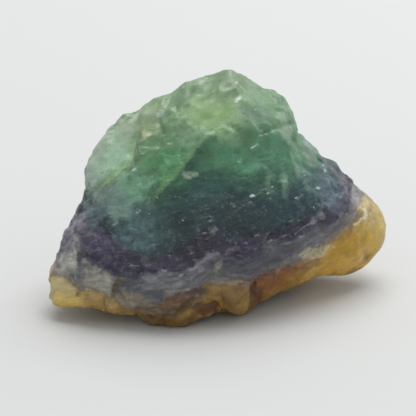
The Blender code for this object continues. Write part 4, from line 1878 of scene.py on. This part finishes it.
@dataclass(frozen=True)
class Studio:
    """A pale floor and room, two soft lights and the camera.

    Attributes:
        sight: the camera's line of sight.
        lamps: the lights: one overhead and a little behind, and a weak one from the back right.
        floor_radius: of the floor disc, in millimetres.
        floor_corners: of the disc.
        floor_colour: as light.
        floor_roughness: of the floor.
        room_colour: of the light that fills the room.
        room_strength: of that light.
        film_width: of the camera, in millimetres.
    """

    sight: Sight
    lamps: tuple[Lamp, ...] = (
        Lamp("softbox", (220.0, 440.0, 1260.0), 1250.0, 17.2),
        Lamp("side window", (720.0, 560.0, 340.0), 600.0, 1.2),
    )
    floor_radius: float = 6000.0
    floor_corners: int = 96
    floor_colour: Triple = (0.577, 0.584, 0.579)
    floor_roughness: float = 0.7
    room_colour: Triple = (0.975, 0.985, 0.985)
    room_strength: float = 0.585
    film_width: float = 36.0

    def floor(self) -> None:
        """Lays the floor, a disc whose rim is a turn cut into even parts."""
        turn = np.linspace(0.0, 2.0 * math.pi, self.floor_corners, endpoint=False)
        rim = np.stack((np.cos(turn), np.sin(turn), np.zeros(self.floor_corners)), axis=-1)
        mesh = bpy.data.meshes.new("floor")
        mesh.from_pydata((rim * self.floor_radius * MM).tolist(), [], [list(range(self.floor_corners))])
        material = bpy.data.materials.new("pale_floor")
        material.use_nodes = True
        shader = material.node_tree.nodes["Principled BSDF"]
        shader.inputs["Base Color"].default_value = (*self.floor_colour, 1.0)
        shader.inputs["Roughness"].default_value = self.floor_roughness
        mesh.materials.append(material)
        floor = bpy.data.objects.new("floor", mesh)
        bpy.context.scene.collection.objects.link(floor)
        floor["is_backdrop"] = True

    def room(self) -> None:
        """Gives the room its pale fill light."""
        world = bpy.data.worlds.new("pale_room")
        world.use_nodes = True
        background = world.node_tree.nodes["Background"]
        background.inputs["Color"].default_value = (*self.room_colour, 1.0)
        background.inputs["Strength"].default_value = self.room_strength
        bpy.context.scene.world = world
        bpy.context.scene.view_settings.view_transform = "Standard"

    def camera(self) -> None:
        """Sets the camera up on the line of sight."""
        data = bpy.data.cameras.new("camera")
        data.sensor_width = self.film_width
        data.lens = self.film_width * self.sight.distance / self.sight.width
        holder = bpy.data.objects.new("camera", data)
        holder.location = Vector(self.sight.eye()) * MM
        holder.rotation_euler = (math.radians(90.0 - self.sight.look_down_deg), 0.0, 0.0)
        bpy.context.scene.collection.objects.link(holder)
        bpy.context.scene.camera = holder

    def build(self) -> None:
        """Builds the floor, the lights, the room and the camera."""
        self.floor()
        for lamp in self.lamps:
            lamp.hang()
        self.room()
        self.camera()


def main() -> None:
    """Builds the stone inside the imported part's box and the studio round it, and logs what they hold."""
    logging.basicConfig(level=logging.INFO, format="%(name)s: %(message)s")
    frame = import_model()
    cad_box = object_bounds()
    lump = BrokenLump().build(frame["nodes"]["fluorite_lump"], cad_box)
    LOG.info("%s: %d points, %d cells", lump.name, len(lump.data.vertices), len(lump.data.polygons))
    studio = Studio(Sight())
    studio.build()
    LOG.info("studio: floor, %d soft lights and camera", len(studio.lamps))


if __name__ == "__main__":
    main()
